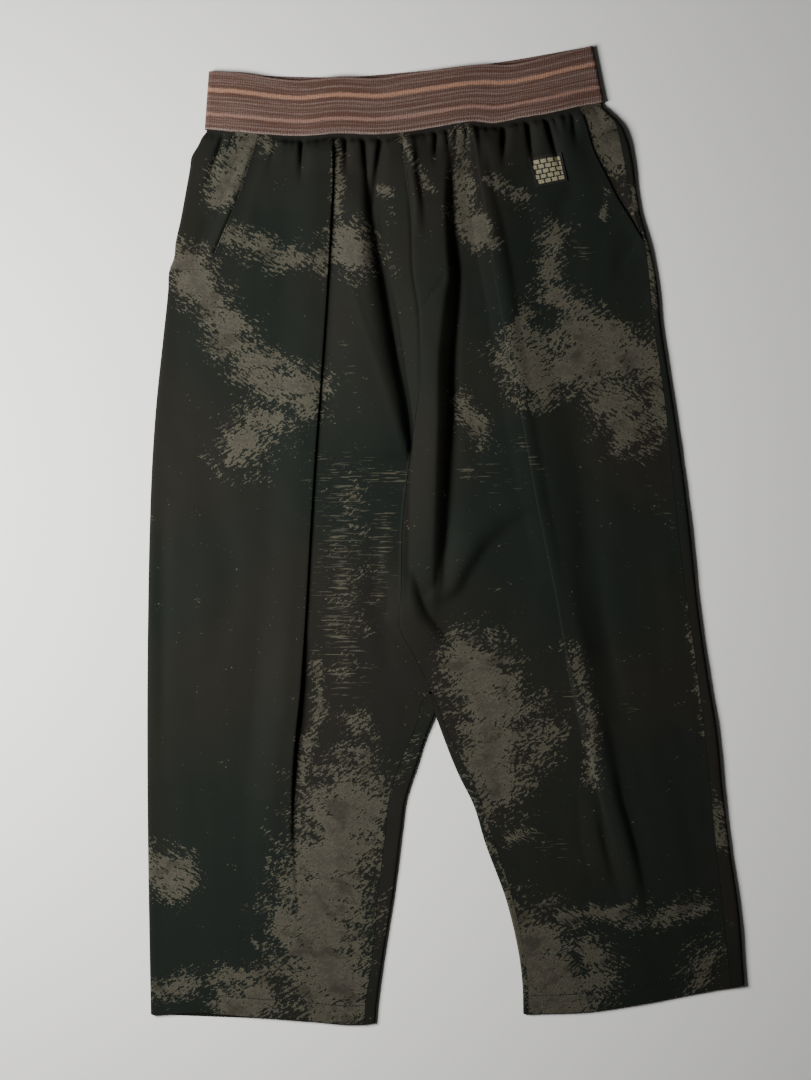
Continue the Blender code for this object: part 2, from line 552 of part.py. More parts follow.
def back_run(row, level, start, end):
    """the stretch on the floor, with a station on each crest and trough of the gathers"""
    half = BACK_GATHER_PITCH / 2
    low, high = min(start[0], end[0]) + CLOSEST, max(start[0], end[0]) - CLOSEST
    if min(GATHERED_LEVELS) <= level < max(GATHERED_LEVELS):
        places = [k * half for k in range(math.ceil(low / half), math.floor(high / half) + 1)]
        fractions = sorted((x - start[0]) / (end[0] - start[0]) for x in places)
        run(row, FLOOR_RUN, start, end, [0] + fractions + [1], back_z)
    else:
        run(row, FLOOR_RUN, start, end, even(5), back_z)


def back_row(level, right):
    """one row of a back panel, from its side seam along the floor to the centre or the inseam"""
    row = Row()
    side = -1 if right else 1
    if right:
        edge = on_line(outer_right, level)
        start = (edge[0] + UNDER_TUCK + SEAM_GAP, edge[1])
    else:
        seam = on_line(side_seam_left, level, SEAM_GAP / 2)
        edge = on_line(outer_left, level)
        z_top = float(front_z(edge[0] - BY_EDGE, edge[1]))
        z_low = float(back_z(edge[0] - BY_EDGE, edge[1]))
        start = roll_start(edge, (1, 0), z_low, z_top)
        run(row, 0, seam, start, even(1), front_z)
        roll(row, 1, edge, (1, 0), z_low, z_top, False)
    if level > CROTCH:
        dip = 0.9 * (CROTCH - APEX) * math.exp(-(level - CROTCH) / GAP_DIP)
        end_x, end_y = on_line(back_seam, level, side * SEAM_GAP / 2)
        back_run(row, level, start, (end_x, end_y - dip))
        return row
    edge, outward = inner_edge(level, right)
    if level == CROTCH:
        edge = (edge[0] + side * SEAM_GAP / 2, edge[1])
        seam = (float(centre_seam(CROTCH)) + side * SEAM_GAP / 2, CROTCH - BY_EDGE)
    else:
        seam = on_line(inseam_right if right else inseam_left, level, -side * SEAM_GAP / 2)
    z_top = float(front_z(edge[0] - outward[0] * BY_EDGE, edge[1] - outward[1] * BY_EDGE))
    turn = roll_start(edge, outward, FLOOR_MID, z_top)
    back_run(row, level, start, turn)
    if level == CROTCH:
        row.above_to = len(row.points)
    roll(row, 3, edge, outward, FLOOR_MID, z_top, True)
    run(row, 4, turn, seam, even(1), front_z)
    return row


def facing_row_right(level):
    """one row of the right facing: level with the front outside the mouth, and under it beyond"""
    row = Row()
    edge_x, edge_y = on_line(outer_right, level)
    mouth_x = on_line(mouth_right, level)[0]
    tucked = level < TUCK_START
    free = edge_x + FACING_FREE

    def height(x, y):
        drop = 0.0
        if level < TUCK_START + TUCK_EASE:
            drop = smooth((x - free) / (mouth_x - free - BY_EDGE))
        if level < MOUTH_END_RIGHT + 2:
            drop = np.maximum(drop, smooth((x - edge_x - BY_EDGE) / (FACING_FREE - BY_EDGE)))
        return front_z(x, y) - FACING_DROP * drop

    first = free
    if level > MOUTH_END_RIGHT:
        z_low = float(back_z(edge_x + BY_EDGE, edge_y))
        z_top = float(height(edge_x + BY_EDGE, edge_y))
        turn = roll_start((edge_x, edge_y), (-1, 0), z_low, z_top)
        run(row, 0, (edge_x + UNDER_TUCK, edge_y), turn, even(1), back_z)
        roll(row, 1, (edge_x, edge_y), (-1, 0), z_low, z_top, True)
        station(row, 2, turn[0], level, height)
        if level < MOUTH_END_RIGHT + 2:
            row.below_from = len(row.points)
    last = mouth_x + (POCKET_TUCK if tucked else -SEAM_GAP)
    for f in even(4):
        station(row, 3 + f, first + (last - first) * f, level, height)
    return row


def facing_row_left(level):
    """one row of the left facing, which narrows to nothing where its mouth meets the side seam"""
    row = Row()
    first = on_line(side_seam_left, level, -SEAM_GAP / 2)[0]
    mouth_x = on_line(mouth_left, level)[0]
    dropped = level < MOUTH_END_LEFT + 9
    width = max(first - mouth_x - 2.5, 1)
    if dropped:
        first = min(first, mouth_x) - 1.5

    def height(x, y):
        if dropped:
            drop = 1.0
        else:
            drop = smooth((first - x) / width) if level < TUCK_START + TUCK_EASE else 0.0
        return front_z(x, y) - FACING_DROP * drop

    last = mouth_x + (-POCKET_TUCK if level < TUCK_START else SEAM_GAP)
    for f in even(6):
        station(row, 2 + f, first + (last - first) * f, level, height)
    return row


def sheet(rows):
    """vertices and triangles of the rows, joined strip by strip"""
    first = np.cumsum([0] + [len(row.points) for row in rows])
    vertices = np.array([point for row in rows for point in row.points])
    triangles = []
    for r, (upper, lower) in enumerate(zip(rows, rows[1:])):
        a = [(across, first[r] + k) for k, across in enumerate(upper.across)]
        b = [(across, first[r + 1] + k) for k, across in enumerate(lower.across)]
        a = a[upper.below_from:]
        b = b[lower.above_from:lower.above_to]
        i = j = 0
        while i < len(a) - 1 or j < len(b) - 1:
            if j == len(b) - 1 or (i < len(a) - 1 and a[i + 1][0] <= b[j + 1][0]):
                triangles.append((a[i][1], b[j][1], a[i + 1][1]))
                i += 1
            else:
                triangles.append((a[i][1], b[j][1], b[j + 1][1]))
                j += 1
    return vertices, np.array(triangles)


def vertex_normals(vertices, triangles):
    corner = vertices[triangles]
    face = np.cross(corner[:, 1] - corner[:, 0], corner[:, 2] - corner[:, 0])
    normals = np.zeros_like(vertices)
    for k in range(3):
        np.add.at(normals, triangles[:, k], face)
    return normals / np.linalg.norm(normals, axis=1)[:, None]


def level_normal(x, y, height, step=0.5):
    """normal of a height function"""
    slope_x = (height(x + step, y) - height(x - step, y)) / (2 * step)
    slope_y = (height(x, y + step) - height(x, y - step)) / (2 * step)
    normal = np.array([-slope_x, -slope_y, 1.0], float)
    return normal / np.linalg.norm(normal)


def walled(vertices, triangles, outwards, inner_extra=None, seam_points=()):
    """a closed wall round a sheet: half the wall to each side, and a rim along its edges.
    At seam_points the wall stands along the seam's plane, so that two mirrored pieces meet"""
    if not outwards:
        triangles = triangles[:, ::-1]
    normals = vertex_normals(vertices, triangles)
    edges = {}
    for tri in triangles:
        for k in range(3):
            edges[(tri[k], tri[(k + 1) % 3])] = True
    rim = [edge for edge in edges if (edge[1], edge[0]) not in edges]
    for k in {k for edge in rim for k in edge}:
        x, y, z = vertices[k]
        if abs(z - front_z(x, y)) < 0.01:
            normals[k] = level_normal(x, y, front_z) * np.sign(normals[k][2])
    for k in seam_points:
        normals[k][0] = 0
        normals[k] /= np.linalg.norm(normals[k])
    extra = np.zeros(len(vertices)) if inner_extra is None else inner_extra * (abs(normals[:, 2]) > 0.985)
    outer = vertices + normals * WALL / 2
    inner = vertices - normals * (WALL / 2 + extra)[:, None]
    count = len(vertices)
    faces = [tuple(tri) for tri in triangles]
    faces += [tuple(count + tri[::-1]) for tri in triangles]
    faces += [(b, a, count + a, count + b) for a, b in rim]
    return np.vstack([outer, inner]), faces


def add_object(name, vertices, faces, material):
    placed = (vertices - np.array([CENTRE[0], CENTRE[1], 0])) * MM
    mesh = bpy.data.meshes.new(name)
    mesh.from_pydata(placed.tolist(), [], [[int(k) for k in face] for face in faces])
    mesh.materials.append(material)
    mesh.shade_smooth()
    mesh.set_sharp_from_angle(angle=math.radians(50))
    thing = bpy.data.objects.new(name, mesh)
    bpy.context.scene.collection.objects.link(thing)
    return thing


def cloth_material(name, colour, roughness):
    material = bpy.data.materials.new(name)
    material.use_nodes = True
    shader = material.node_tree.nodes["Principled BSDF"]
    shader.inputs["Base Color"].default_value = (*colour, 1)
    shader.inputs["Roughness"].default_value = roughness
    return material


def add_panel(name, rows, outwards, material, hemmed=False):
    vertices, triangles = sheet(rows)
    extra = None
    if hemmed:
        levels = np.concatenate([[row.level] * len(row.points) for row in rows])
        across = np.concatenate([row.across for row in rows])
        extra = np.where(levels <= HEM + HEM_DEPTH, HEM_EXTRA, 0.0)
        if name.startswith("back"):
            extra[(across <= FLOOR_RUN) | (across >= FLOOR_RUN + 1)] = 0
    first = np.cumsum([0] + [len(row.points) for row in rows])
    seam_points = [first[r] + k for r, row in enumerate(rows) if row.above_to
                   for k in range(row.above_to - 1, len(row.points) - 1)]
    return add_object(name, *walled(vertices, triangles, outwards, extra, seam_points), material)


def panel_rows(make, right):
    rows = []
    for level in [LAPPED] + GATHERED_LEVELS + UPPER_LEVELS + [CROTCH] + LOWER_LEVELS + HEM_LEVELS:
        row = make(level, right)
        row.level = level
        rows.append(row)
    return rows


def facing_rows(right):
    levels = [LAPPED] + GATHERED_LEVELS[:2] + [TUCK_START + 1] + GATHERED_LEVELS[3:] + [320, 299]
    if right:
        levels += [281, 268, MOUTH_END_RIGHT + 0.6, MOUTH_END_RIGHT - 3, MOUTH_END_RIGHT - 9]
        return [facing_row_right(level) for level in levels]
    levels += [MOUTH_END_LEFT + 11, MOUTH_END_LEFT + 8, MOUTH_END_LEFT - 4, MOUTH_END_LEFT - 10]
    return [facing_row_left(level) for level in levels]


def band_loop(fraction, front=26, back=12, turn=4):
    """the elastic's ring at one height: front from the right to the left, then back underneath"""
    half = ELASTIC / 2
    sides = [float(BAND_LOWER[k][0] + (BAND_UPPER[k][0] - BAND_LOWER[k][0]) * fraction) for k in (0, -1)]
    low = half
    points = []
    z_side = [BAND_Z + float(band_wave(x)) for x in sides]
    radius = [(z - low) / 2 for z in z_side]
    starts = [sides[0] + half + radius[0], sides[1] - half - radius[1]]

    def height(x, upper):
        return float(band_lower(x)) * (1 - fraction) + float(upper(x)) * fraction

    for k in range(front + 1):
        x = starts[0] + (starts[1] - starts[0]) * k / front
        wave = float(band_wave(x))
        points.append((x, height(x, band_upper), BAND_Z + wave))
    for k in range(1, turn):
        a = math.pi * k / turn
        x = starts[1] + radius[1] * math.sin(a)
        points.append((x, height(x, band_upper), low + radius[1] + radius[1] * math.cos(a)))
    for k in range(back + 1):
        x = starts[1] + (starts[0] - starts[1]) * k / back
        points.append((x, height(x, band_upper_back), low))
    for k in range(1, turn):
        a = math.pi * k / turn
        x = starts[0] - radius[0] * math.sin(a)
        points.append((x, height(x, band_upper), low + radius[0] - radius[0] * math.cos(a)))
    return points


def add_waistband(material):
    """the ring, a wall of elastic round an open tube"""
    fractions = [1, 0.67, 0.33, 0]
    loops = [band_loop(f) for f in fractions]
    count = len(loops[0])
    vertices = np.array([point for loop in loops for point in loop])
    triangles = []
    for r in range(len(loops) - 1):
        for k in range(count):
            a, b = r * count + k, r * count + (k + 1) % count
            c, d = a + count, b + count
            triangles += [(a, c, b), (b, c, d)]
    triangles = np.array(triangles)
    normals = vertex_normals(vertices, triangles)
    half = ELASTIC / 2
    normals[:, 1] = 0
    normals /= np.linalg.norm(normals, axis=1)[:, None]
    total = len(vertices)
    rim = [((k + 1) % count, k) for k in range(count)]
    rim += [(total - count + k, total - count + (k + 1) % count) for k in range(count)]
    faces = [tuple(tri) for tri in triangles]
    faces += [tuple(total + tri[::-1]) for tri in triangles]
    faces += [(b, a, total + a, total + b) for a, b in rim]
    return add_object("waistband", np.vstack([vertices + normals * half, vertices - normals * half]),
                      faces, material)


# Hip patch: its corners (x, y), from the upper right leg side round.
PATCH = dict(corners=[(78, 361.5), (109.5, 367), (115.5, 340), (85.5, 333.5)], wall=1.0, across=6, down=5)


def add_patch(material):
    """the patch, made from the left front's surface and moved out"""
    corners = np.array(PATCH["corners"], float)
    rows = []
    for j in range(PATCH["down"] + 1):
        row = Row()
        left = corners[0] + (corners[3] - corners[0]) * j / PATCH["down"]
        right = corners[1] + (corners[2] - corners[1]) * j / PATCH["down"]
        for i in range(PATCH["across"] + 1):
            x, y = left + (right - left) * i / PATCH["across"]
            z = with_plateau(fold_left, pleat_left, x, y, 1) + WALL + LAY_GAP + 0.1
            row.add(i, x, y, z)
        rows.append(row)
    vertices, triangles = sheet(rows)
    return add_object("hip_patch", *walled(vertices, triangles, True), material)


def main():
    for thing in list(bpy.data.objects):
        bpy.data.objects.remove(thing)
    dark_green = (0.020, 0.024, 0.020)
    cloth = {name: cloth_material(name, dark_green, 0.7)
             for name in ("front twill", "back twill", "facing twill")}
    elastic = cloth_material("striped elastic", (0.17, 0.075, 0.05), 0.85)
    woven = cloth_material("woven patch", (0.30, 0.27, 0.20), 0.8)
    for right, word in ((True, "right"), (False, "left")):
        add_panel("front_panel_" + word, panel_rows(front_row, right), right, cloth["front twill"], True)
        add_panel("back_panel_" + word, panel_rows(back_row, right), not right, cloth["back twill"], True)
        add_panel("pocket_facing_" + word, facing_rows(right), right, cloth["facing twill"])
    add_waistband(elastic)
    add_patch(woven)


main()
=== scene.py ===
import math

import bpy
import numpy as np
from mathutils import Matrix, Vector


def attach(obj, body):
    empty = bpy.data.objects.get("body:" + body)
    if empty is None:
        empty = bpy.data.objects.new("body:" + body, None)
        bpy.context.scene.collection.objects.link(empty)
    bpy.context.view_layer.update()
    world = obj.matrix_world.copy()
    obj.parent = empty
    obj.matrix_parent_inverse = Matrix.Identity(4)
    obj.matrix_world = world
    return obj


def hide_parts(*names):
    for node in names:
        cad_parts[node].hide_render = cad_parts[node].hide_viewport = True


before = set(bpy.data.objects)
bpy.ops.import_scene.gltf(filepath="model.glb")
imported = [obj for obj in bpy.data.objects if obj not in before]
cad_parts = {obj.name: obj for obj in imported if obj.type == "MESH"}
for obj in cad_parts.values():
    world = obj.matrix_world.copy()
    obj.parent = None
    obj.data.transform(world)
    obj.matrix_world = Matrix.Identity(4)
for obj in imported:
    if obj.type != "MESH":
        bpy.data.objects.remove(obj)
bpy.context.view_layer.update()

# Cropped, wide, drop-crotch joggers with an exposed elastic waist, laid flat on their back.
# Left and right are the wearer's. Tables and sizes are in millimetres, meshes in metres. Where
# something comes, goes or bends is a (start, length) pair.
mm = 0.001

cut = {
    "wall": 1.0,            # cloth
    "seamGap": 0.3,         # between two pieces along a seam
    "lap": 6.0,             # cloth that runs up under the elastic
    "layGap": 0.4,          # between layers that lie on each other
    "underTuck": 10.0,      # right side seam, in from the edge, underneath
    "pocketTuck": 9.0,      # facing past the mouth, under the front
    "tuckStart": 376.0,     # level where the facing starts to lie under the front
    "tuckEase": 6.0,        # and how far above it the facing starts to go down
    "facingFree": 9.0,      # strip of the right facing that always shows
    "facingLevel": 3.0,     # how near the mouth or the edge the right facing is level
    "waist": 390.0,         # level of the elastic's lower edge
    "hem": -459.0,
    "hemDepth": 18.0,
    "crotch": -148.0,       # where the four panels meet, in front
    "apex": -170.0,         # top of the gap between the legs
    "waistBend": (300.0, 86.0),     # rows bend to the elastic's line from this level up, over this much,
    "hemBend": (-200.0, 259.0),     # and to the hem's from this one down
    "mouthEndRight": 255.0,
    "mouthEndLeft": 281.0,
    "centre": (-0.5, 1.0),  # middle of the laid garment in the tables, put at the origin
}
elastic = {
    "wall": 1.4,
    "middle": 5.2,          # height of the front layer's middle
    "waves": [(0.5, 104, 20), (0.25, 73, 70)],   # height, length, start of its slow waves
    "ribPitch": 2.2,        # real ribs are 1.3 mm apart, drawn coarser so that they show
}
heights = {
    "floor": 0.5,           # middle of the cloth that lies on the floor
    "front": 3.6,           # middle of the front cloth where it lies flat
    "lowest": 2.3, "lowestRound": 0.8,      # the front's least, and how softly it is kept
    "puff": (1.1, 13),      # along the outer edges: height, width
    "gathered": 5.8, "gatheredComes": (0, 9), "gatheredGoes": (16, 80),     # below the elastic
    "gatheredEdge": (0.35, 40),     # the share of that at the outer edges, and how far in it is whole
    "mouth": (0.8, 8),      # beside a pocket mouth: height, reach
    "mouthCalm": (0.6, 0.7),        # the shares of the gathered height and of the gathers left out there
    "lowestMore": (1.5, 1.2), "moreGoes": (30, 30),     # over the lowest beside a mouth, and at the elastic
    "frontLap": (0.5, 8), "backLap": (2, 11),       # where the cloth comes off the elastic
}
facingBulge = {             # the right facing bulges beside the pocket mouth, which lies in its shade
    "height": 2.0, "comes": (0, 3.2), "goes": (4, 10),      # in from the mouth
    "end": (3, 15), "top": (384, 12),       # up from the mouth's lower end, and down from this level
}
hemTurn = {"radius": 0.55, "past": 0.5, "back": 0.4, "cloth": 0.8}      # cloth is what half the turn takes up
gapTop = {
    "reach": 30,            # how near the crotch the rows bend down to the gap's top
    "dip": 0.9,             # the share of that bend which the upper back's rows take
    "turn": (-90, 70, 34),  # the inner edge's direction there, and how far it turns over what length
}
foldColumns = {             # where a fold's column of stations is, as shares of its stretch
    "along": (0.1, 0.95), "apart": 0.55,        # least and most along the fold, and apart from it
    "above": 30, "below": 60,       # how far past the fold's ends it goes over from one to the other
}

# Lines on the laid garment, as (y, x) from the waist down.
outerRightRows = [
    (396, -229.4), (388, -229.8), (382, -234), (374, -238), (364, -244), (352, -246), (330, -250),
    (303, -255), (280, -260), (266, -261.5), (256, -265.5), (236, -267), (188, -272), (131, -278),
    (76, -282), (-4, -285), (-91, -286.5), (-282, -286.5), (-407, -284.5), (-459, -283.5)]
outerLeftRows = [
    (424, 146.6), (418, 147.3), (413, 149), (404, 157), (397, 164.5), (380, 173.5), (361, 178),
    (332, 182), (308, 186), (289, 191.5), (253, 200), (199, 206), (134, 216), (77, 224.5),
    (4, 233.5), (-68, 241), (-131, 250), (-190, 259.5), (-247, 265), (-296, 271), (-359, 280),
    (-430, 285.5)]
centreSeamRows = [
    (396, -44), (380, -42.5), (342, -37), (303, -34), (251, -32), (214, -26.5), (184, -25.5),
    (150, -25.5), (110, -30), (76, -35), (44, -39), (13, -42), (-54, -43.5), (-91, -44),
    (-115, -31), (-135, -21), (-148, -15)]
inseamRightRows = [
    (-148, -15), (-156, -22), (-176, -27.5), (-196, -35), (-215, -43.5), (-239, -51.5), (-256, -56),
    (-282, -58.5), (-346, -66), (-412, -72), (-445, -77.5), (-467, -79)]
edgeRightRows = [
    (-170, -11), (-196, -21), (-215, -27), (-256, -40), (-283, -43.5), (-346, -51.5), (-398, -60),
    (-445, -66.5), (-467, -68.5)]
inseamLeftRows = [
    (-148, -15), (-162, -9), (-194, 3.5), (-220, 17), (-240, 27), (-283, 42), (-336, 60),
    (-372, 69), (-405, 75), (-435, 78), (-460, 78.5)]
edgeLeftRows = [
    (-170, -11), (-197, -1.5), (-230, 12), (-256, 25), (-293, 36.5), (-352, 58), (-382, 65.5),
    (-409, 70.5), (-435, 73), (-458, 73.5)]
sideSeamLeftRows = [
    (424, 142.6), (418, 143.3), (413, 145), (404, 153), (397, 160), (384, 164.5), (364, 169),
    (341, 174), (303, 182), (281, 189.5), (256, 193), (199, 198.5), (159, 205), (104, 212),
    (52, 217), (12, 221), (-56, 229.5), (-105, 236.5), (-197, 248), (-296, 258), (-389, 268),
    (-430, 272)]
backSeamRows = [(396, -41), (100, -30), (-100, -14), (-170, -11)]
mouthRightRows = [
    (396, -179), (383, -181), (364, -186.5), (326, -199), (290, -214.5), (265, -224), (250, -224.5)]
mouthLeftRows = [
    (416, 124), (401, 131), (369, 141), (343, 154), (323, 164), (307, 174), (281, 189.5)]

# Edges of the elastic and of the hems, as (x, y) from the right to the left.
bandLowerRows = [
    (-232, 389.5), (-207, 387), (-167, 384), (-133, 383), (-110, 385), (-62, 384.5), (-36, 387),
    (-9, 391.5), (27, 396.5), (44, 395), (70, 400), (96, 404), (122, 410), (151, 415.5)]
bandUpperRows = [
    (-228, 445), (-194, 442.5), (-167, 438.5), (-141, 436), (-104, 439.5), (-62, 438.5), (-36, 443),
    (-9, 446.5), (38, 451.5), (62, 451.5), (83, 455.5), (109, 462), (140, 469.5)]
bandUpperBackRows = [(-228, 445), (-150, 440.5), (-104, 440), (-36, 445), (40, 453), (140, 470)]
hemEdgeRows = [
    (-284, -458), (-232, -457), (-179, -461), (-131, -464.5), (-97, -467.5), (-68, -466.5),
    (0, -460), (73, -458), (147, -454), (176, -449.5), (215, -442.5), (253, -435), (286, -430)]

# Knife pleats: the fold's edge as (y, x), and how it is laid as (y, bend, under, turn). bend is the
# fold's radius, under how far the cloth runs back below it, turn its angle: 180 is folded flat.
pleatRight = {
    "line": [(396, -111), (342, -109), (303, -111), (255, -113.5), (207, -116.5), (150, -120.5),
             (76, -126), (-4, -131), (-91, -136), (-148, -140), (-215, -147), (-282, -150),
             (-349, -147), (-459, -145)],
    "fold": [(388, 0.7, 0, 0), (382, 0.75, 1, 60), (375, 0.8, 2.5, 115), (366, 0.8, 5, 160),
             (352, 0.8, 8, 180), (76, 0.8, 9, 180), (-91, 0.9, 7, 180), (-148, 1.1, 4.5, 150),
             (-200, 1.3, 3.2, 112), (-250, 1.3, 2.6, 80), (-300, 1.3, 2, 48), (-350, 1.3, 1, 20),
             (-400, 1.3, 0, 0)],
    "side": -1,
}
pleatLeft = {
    "line": [(402, 23), (364, 28), (332, 33), (301, 38.5), (270, 42.5), (240, 47), (196, 55),
             (147, 65), (102, 74), (33, 86), (-9, 94.5), (-55, 104), (-109, 114), (-148, 123.5),
             (-217, 140.5), (-297, 163), (-346, 177), (-440, 190)],
    "fold": [(388, 0.7, 0, 0), (382, 0.75, 1, 50), (375, 0.8, 2, 100), (366, 0.8, 4, 150),
             (352, 0.8, 6, 180), (76, 0.8, 8, 180), (-40, 0.8, 6, 180), (-91, 0.9, 4, 140),
             (-130, 1.2, 3, 80), (-180, 1.6, 2.5, 45), (-260, 1.8, 2, 30), (-346, 1.8, 0, 0)],
    "side": 1,
}
flapGoes = (12.0, 34.0)     # where the flap's height dies away, from its fold

# Large folds, as (y, x, height, half width to the right leg, half width to the left leg). A valley's
# height is below zero. "soft" is round and "crisp" comes to a point. "bank" is cloth that bulges on
# the right leg's side of its line and falls steeply to it, and "cliff" falls more evenly: their widths
# are the fall's and the bulge's. "lip" is a low step whose left leg's side lies on top.
crevice = {"kind": "bank", "rows": [    # beside the right pleat
    (345, -75, 0, 7, 30), (332, -74.5, 2.5, 8, 32), (318, -73, 5.5, 10, 34), (300, -70, 8, 12, 36),
    (270, -65, 9.5, 15, 42), (245, -60, 10.5, 17, 48), (207, -53.5, 11, 18, 56), (169, -47, 11, 17, 64),
    (130, -39, 10, 14, 74), (100, -35.5, 8.6, 11, 84), (84, -34, 6, 8, 86), (70, -35, 0, 6, 86)]}
centreFold = {"kind": "cliff", "rows": [    # down the middle
    (372, 5, 0, 5, 60), (356, 5, 3.5, 6, 64), (337, 5.5, 6.5, 8, 68), (315, 6, 8.5, 9, 70),
    (279, 9.5, 10.6, 11, 70), (246, 13, 12, 13, 68), (227, 12, 12.3, 15, 62), (207, 10.5, 12.3, 16, 56),
    (169, 8, 12.3, 17, 48),
    (130, 7.5, 12.3, 17, 42), (102, 6.5, 12, 16, 38), (73, 4.5, 11, 15, 38), (35, 2.5, 9.4, 14, 38),
    (-4, 0, 7.6, 13, 36), (-40, -3, 5.5, 11, 34), (-56, -4.5, 2.4, 9, 34), (-80, -6, 0, 8, 34)]}
largeFolds = [
    crevice,
    centreFold,
    {"kind": "crisp", "rows": [    # groove at its foot
        (360, 5.5, 0, 5, 4), (337, 6, -1.5, 5, 4), (246, 13.5, -1.8, 6, 5), (169, 8.5, -2, 8, 7),
        (102, 7, -2.2, 10, 12), (35, 3, -2.6, 12, 19), (-30, -2.5, -2, 10, 16), (-52, -4, 0, 10, 12)]},
    {"kind": "crisp", "rows": [    # and at the crevice's
        (320, -73, 0, 5, 4), (290, -68.5, -1.5, 6, 5), (245, -60, -2, 8, 6), (169, -47, -2, 8, 5),
        (100, -35.5, -1.5, 6, 4), (80, -34, 0, 5, 4)]},
    {"kind": "bank", "rows": [    # short fold beside the centre seam
        (392, -30, 0, 4, 12), (378, -30, 3, 5, 12), (360, -29, 4.6, 5, 12), (340, -26.5, 5, 6, 12),
        (318, -23.5, 4, 6, 12), (300, -22, 2, 7, 12), (284, -21, 0, 7, 12)]},
    {"kind": "crisp", "rows": [    # the centre seam's ditch
        (396, -44, -1.8, 4, 3.5), (342, -37, -2.6, 4, 3.5), (303, -34, -2.6, 4, 3.5),
        (251, -32, -2.6, 4, 3.5), (214, -26.5, -2.4, 4, 3.5), (184, -25.5, -2.2, 4, 3.5),
        (150, -25.5, -1.6, 4, 3.5), (118, -29, 0, 4, 3.5)]},
    {"kind": "lip", "rows": [    # the seam's flap
        (90, -32.5, 0, 0, 22), (70, -36, 1.0, 0, 22), (13, -42, 1.3, 0, 22), (-54, -43.5, 1.2, 0, 20),
        (-95, -43, 0, 0, 18)]},
    {"kind": "bank", "rows": [    # the cloth up at the left pleat's edge
        (400, 33, 0, 7, 20), (370, 38, 1.6, 8, 22), (342, 43, 2.6, 9, 24), (301, 53, 3.4, 11, 28),
        (270, 59.5, 3.6, 12, 30), (240, 65, 3.4, 12, 30), (196, 71, 2.6, 11, 28), (147, 79, 2.0, 10, 28),
        (102, 86, 1.8, 10, 28), (33, 98, 1.8, 10, 28), (-9, 106.5, 1.4, 10, 26), (-60, 115, 0, 9, 24)]},
    {"kind": "bank", "rows": [    # rising to the left pleat
        (44, 112, 0, 17, 44), (25, 82, 2.2, 18, 40), (11.5, 63, 3.6, 17, 36), (0, 48.6, 4.6, 15, 32),
        (-17, 34, 5.2, 12, 30), (-37, 21, 5.0, 9, 26), (-52, 12.5, 3.6, 7, 22), (-66, -1, 0, 6, 18)]},
    {"kind": "bank", "rows": [    # the curve under the centre
        (-30, -34, 0, 7, 26), (-41, -30, 3.0, 8, 28), (-58, -25, 5.2, 9, 30), (-74, -18, 5.8, 11, 34),
        (-87, -8, 5.2, 12, 38), (-98, -1, 3.2, 12, 42), (-112, 5, 0, 12, 44)]},
    {"kind": "crisp", "rows": [    # small diagonal fold across the seam
        (254, 0, 0, 6, 4), (244, -4, -1.4, 7, 5), (232, -12, -1.8, 7, 5), (216, -24, -1.0, 7, 5),
        (208, -30, 0, 6, 5)]},
    {"kind": "soft", "rows": [    # soft hollows of the legs
        (140, 126, 0, 14, 16), (89, 128, -1.4, 14, 16), (28, 137, -2.0, 15, 18), (-36, 137, -2.4, 16, 18),
        (-68, 139, -2.4, 16, 18), (-111, 147, -2.0, 14, 16), (-166, 154, -1.8, 14, 16),
        (-217, 161, -1.8, 13, 15), (-263, 174, -1.6, 12, 14), (-297, 184, -1.0, 12, 14),
        (-345, 191, 0, 12, 14)]},
    {"kind": "bank", "rows": [    # the left pleat's lower end, two low banks
        (-150, 152, 0, 10, 26), (-180, 157, 1.8, 11, 26), (-217, 164, 2.8, 11, 28), (-253, 170, 3.5, 10, 28),
        (-292, 180, 3.8, 9, 28), (-330, 188, 2.4, 9, 24), (-362, 194, 0, 9, 22)]},
    {"kind": "bank", "rows": [
        (-225, 140, 0, 6, 20), (-253, 146, 1.5, 6, 20), (-292, 151, 2.3, 6, 22), (-325, 158, 1.2, 6, 20),
        (-348, 163, 0, 6, 20)]},
    {"kind": "soft", "rows": [
        (70, -228, 0, 16, 16), (20, -220, -1.4, 16, 16), (-40, -207, -1.6, 16, 16), (-80, -213, -1.4, 16, 16),
        (-145, -226, 0, 16, 16)]},
    {"kind": "soft", "rows": [
        (40, -272, 0, 8, 9), (-10, -272, -1.2, 8, 9), (-138, -272, -1.2, 8, 9), (-240, -272, 0, 8, 9)]},
]
roundedTo = 1.4             # how round a crisp fold's point and a bank's foot are
fallPower = {"bank": 2, "cliff": 1.2}       # 1 falls evenly, more is steepest at the line

# Gathers under the elastic: where each trough starts and ends (x), how far it runs, its depth.
gatherRows = [
    (-221, -225, 18, 1.8), (-212.5, -236, 74, 6.4), (-204, -212, 30, 3.4), (-190, -191, 16, 2.2),
    (-176, -180, 14, 1.8), (-162, -172, 42, 3.0), (-152, -153, 15, 2.4), (-146, -147, 18, 2.8),
    (-138.5, -139.5, 52, 8.2), (-131, -132, 16, 2.6), (-122, -123, 14, 2.3),
    (-97, -96, 48, 7.0), (-89, -89, 16, 2.4), (-79.7, -72, 88, 8.2), (-62, -76, 104, 9.4),
    (-55, -54, 16, 2.4), (-21, -20, 20, 2.6), (-10, -11, 44, 7.0), (0, 3, 40, 5.0),
    (10, 7, 40, 4.6), (20, 18, 40, 7.0), (28.5, 34, 60, 8.0),
    (38.5, 38, 18, 3.0), (48, 48, 14, 2.4), (55, 54, 52, 7.6), (68, 68, 16, 2.8),
    (77, 85, 62, 8.2), (86, 88, 16, 2.8), (94, 114, 74, 8.4), (101.5, 110, 34, 4.6),
    (112, 115, 26, 3.6), (120, 125, 46, 4.6), (131, 138, 36, 2.2), (141, 150, 32, 1.4)]
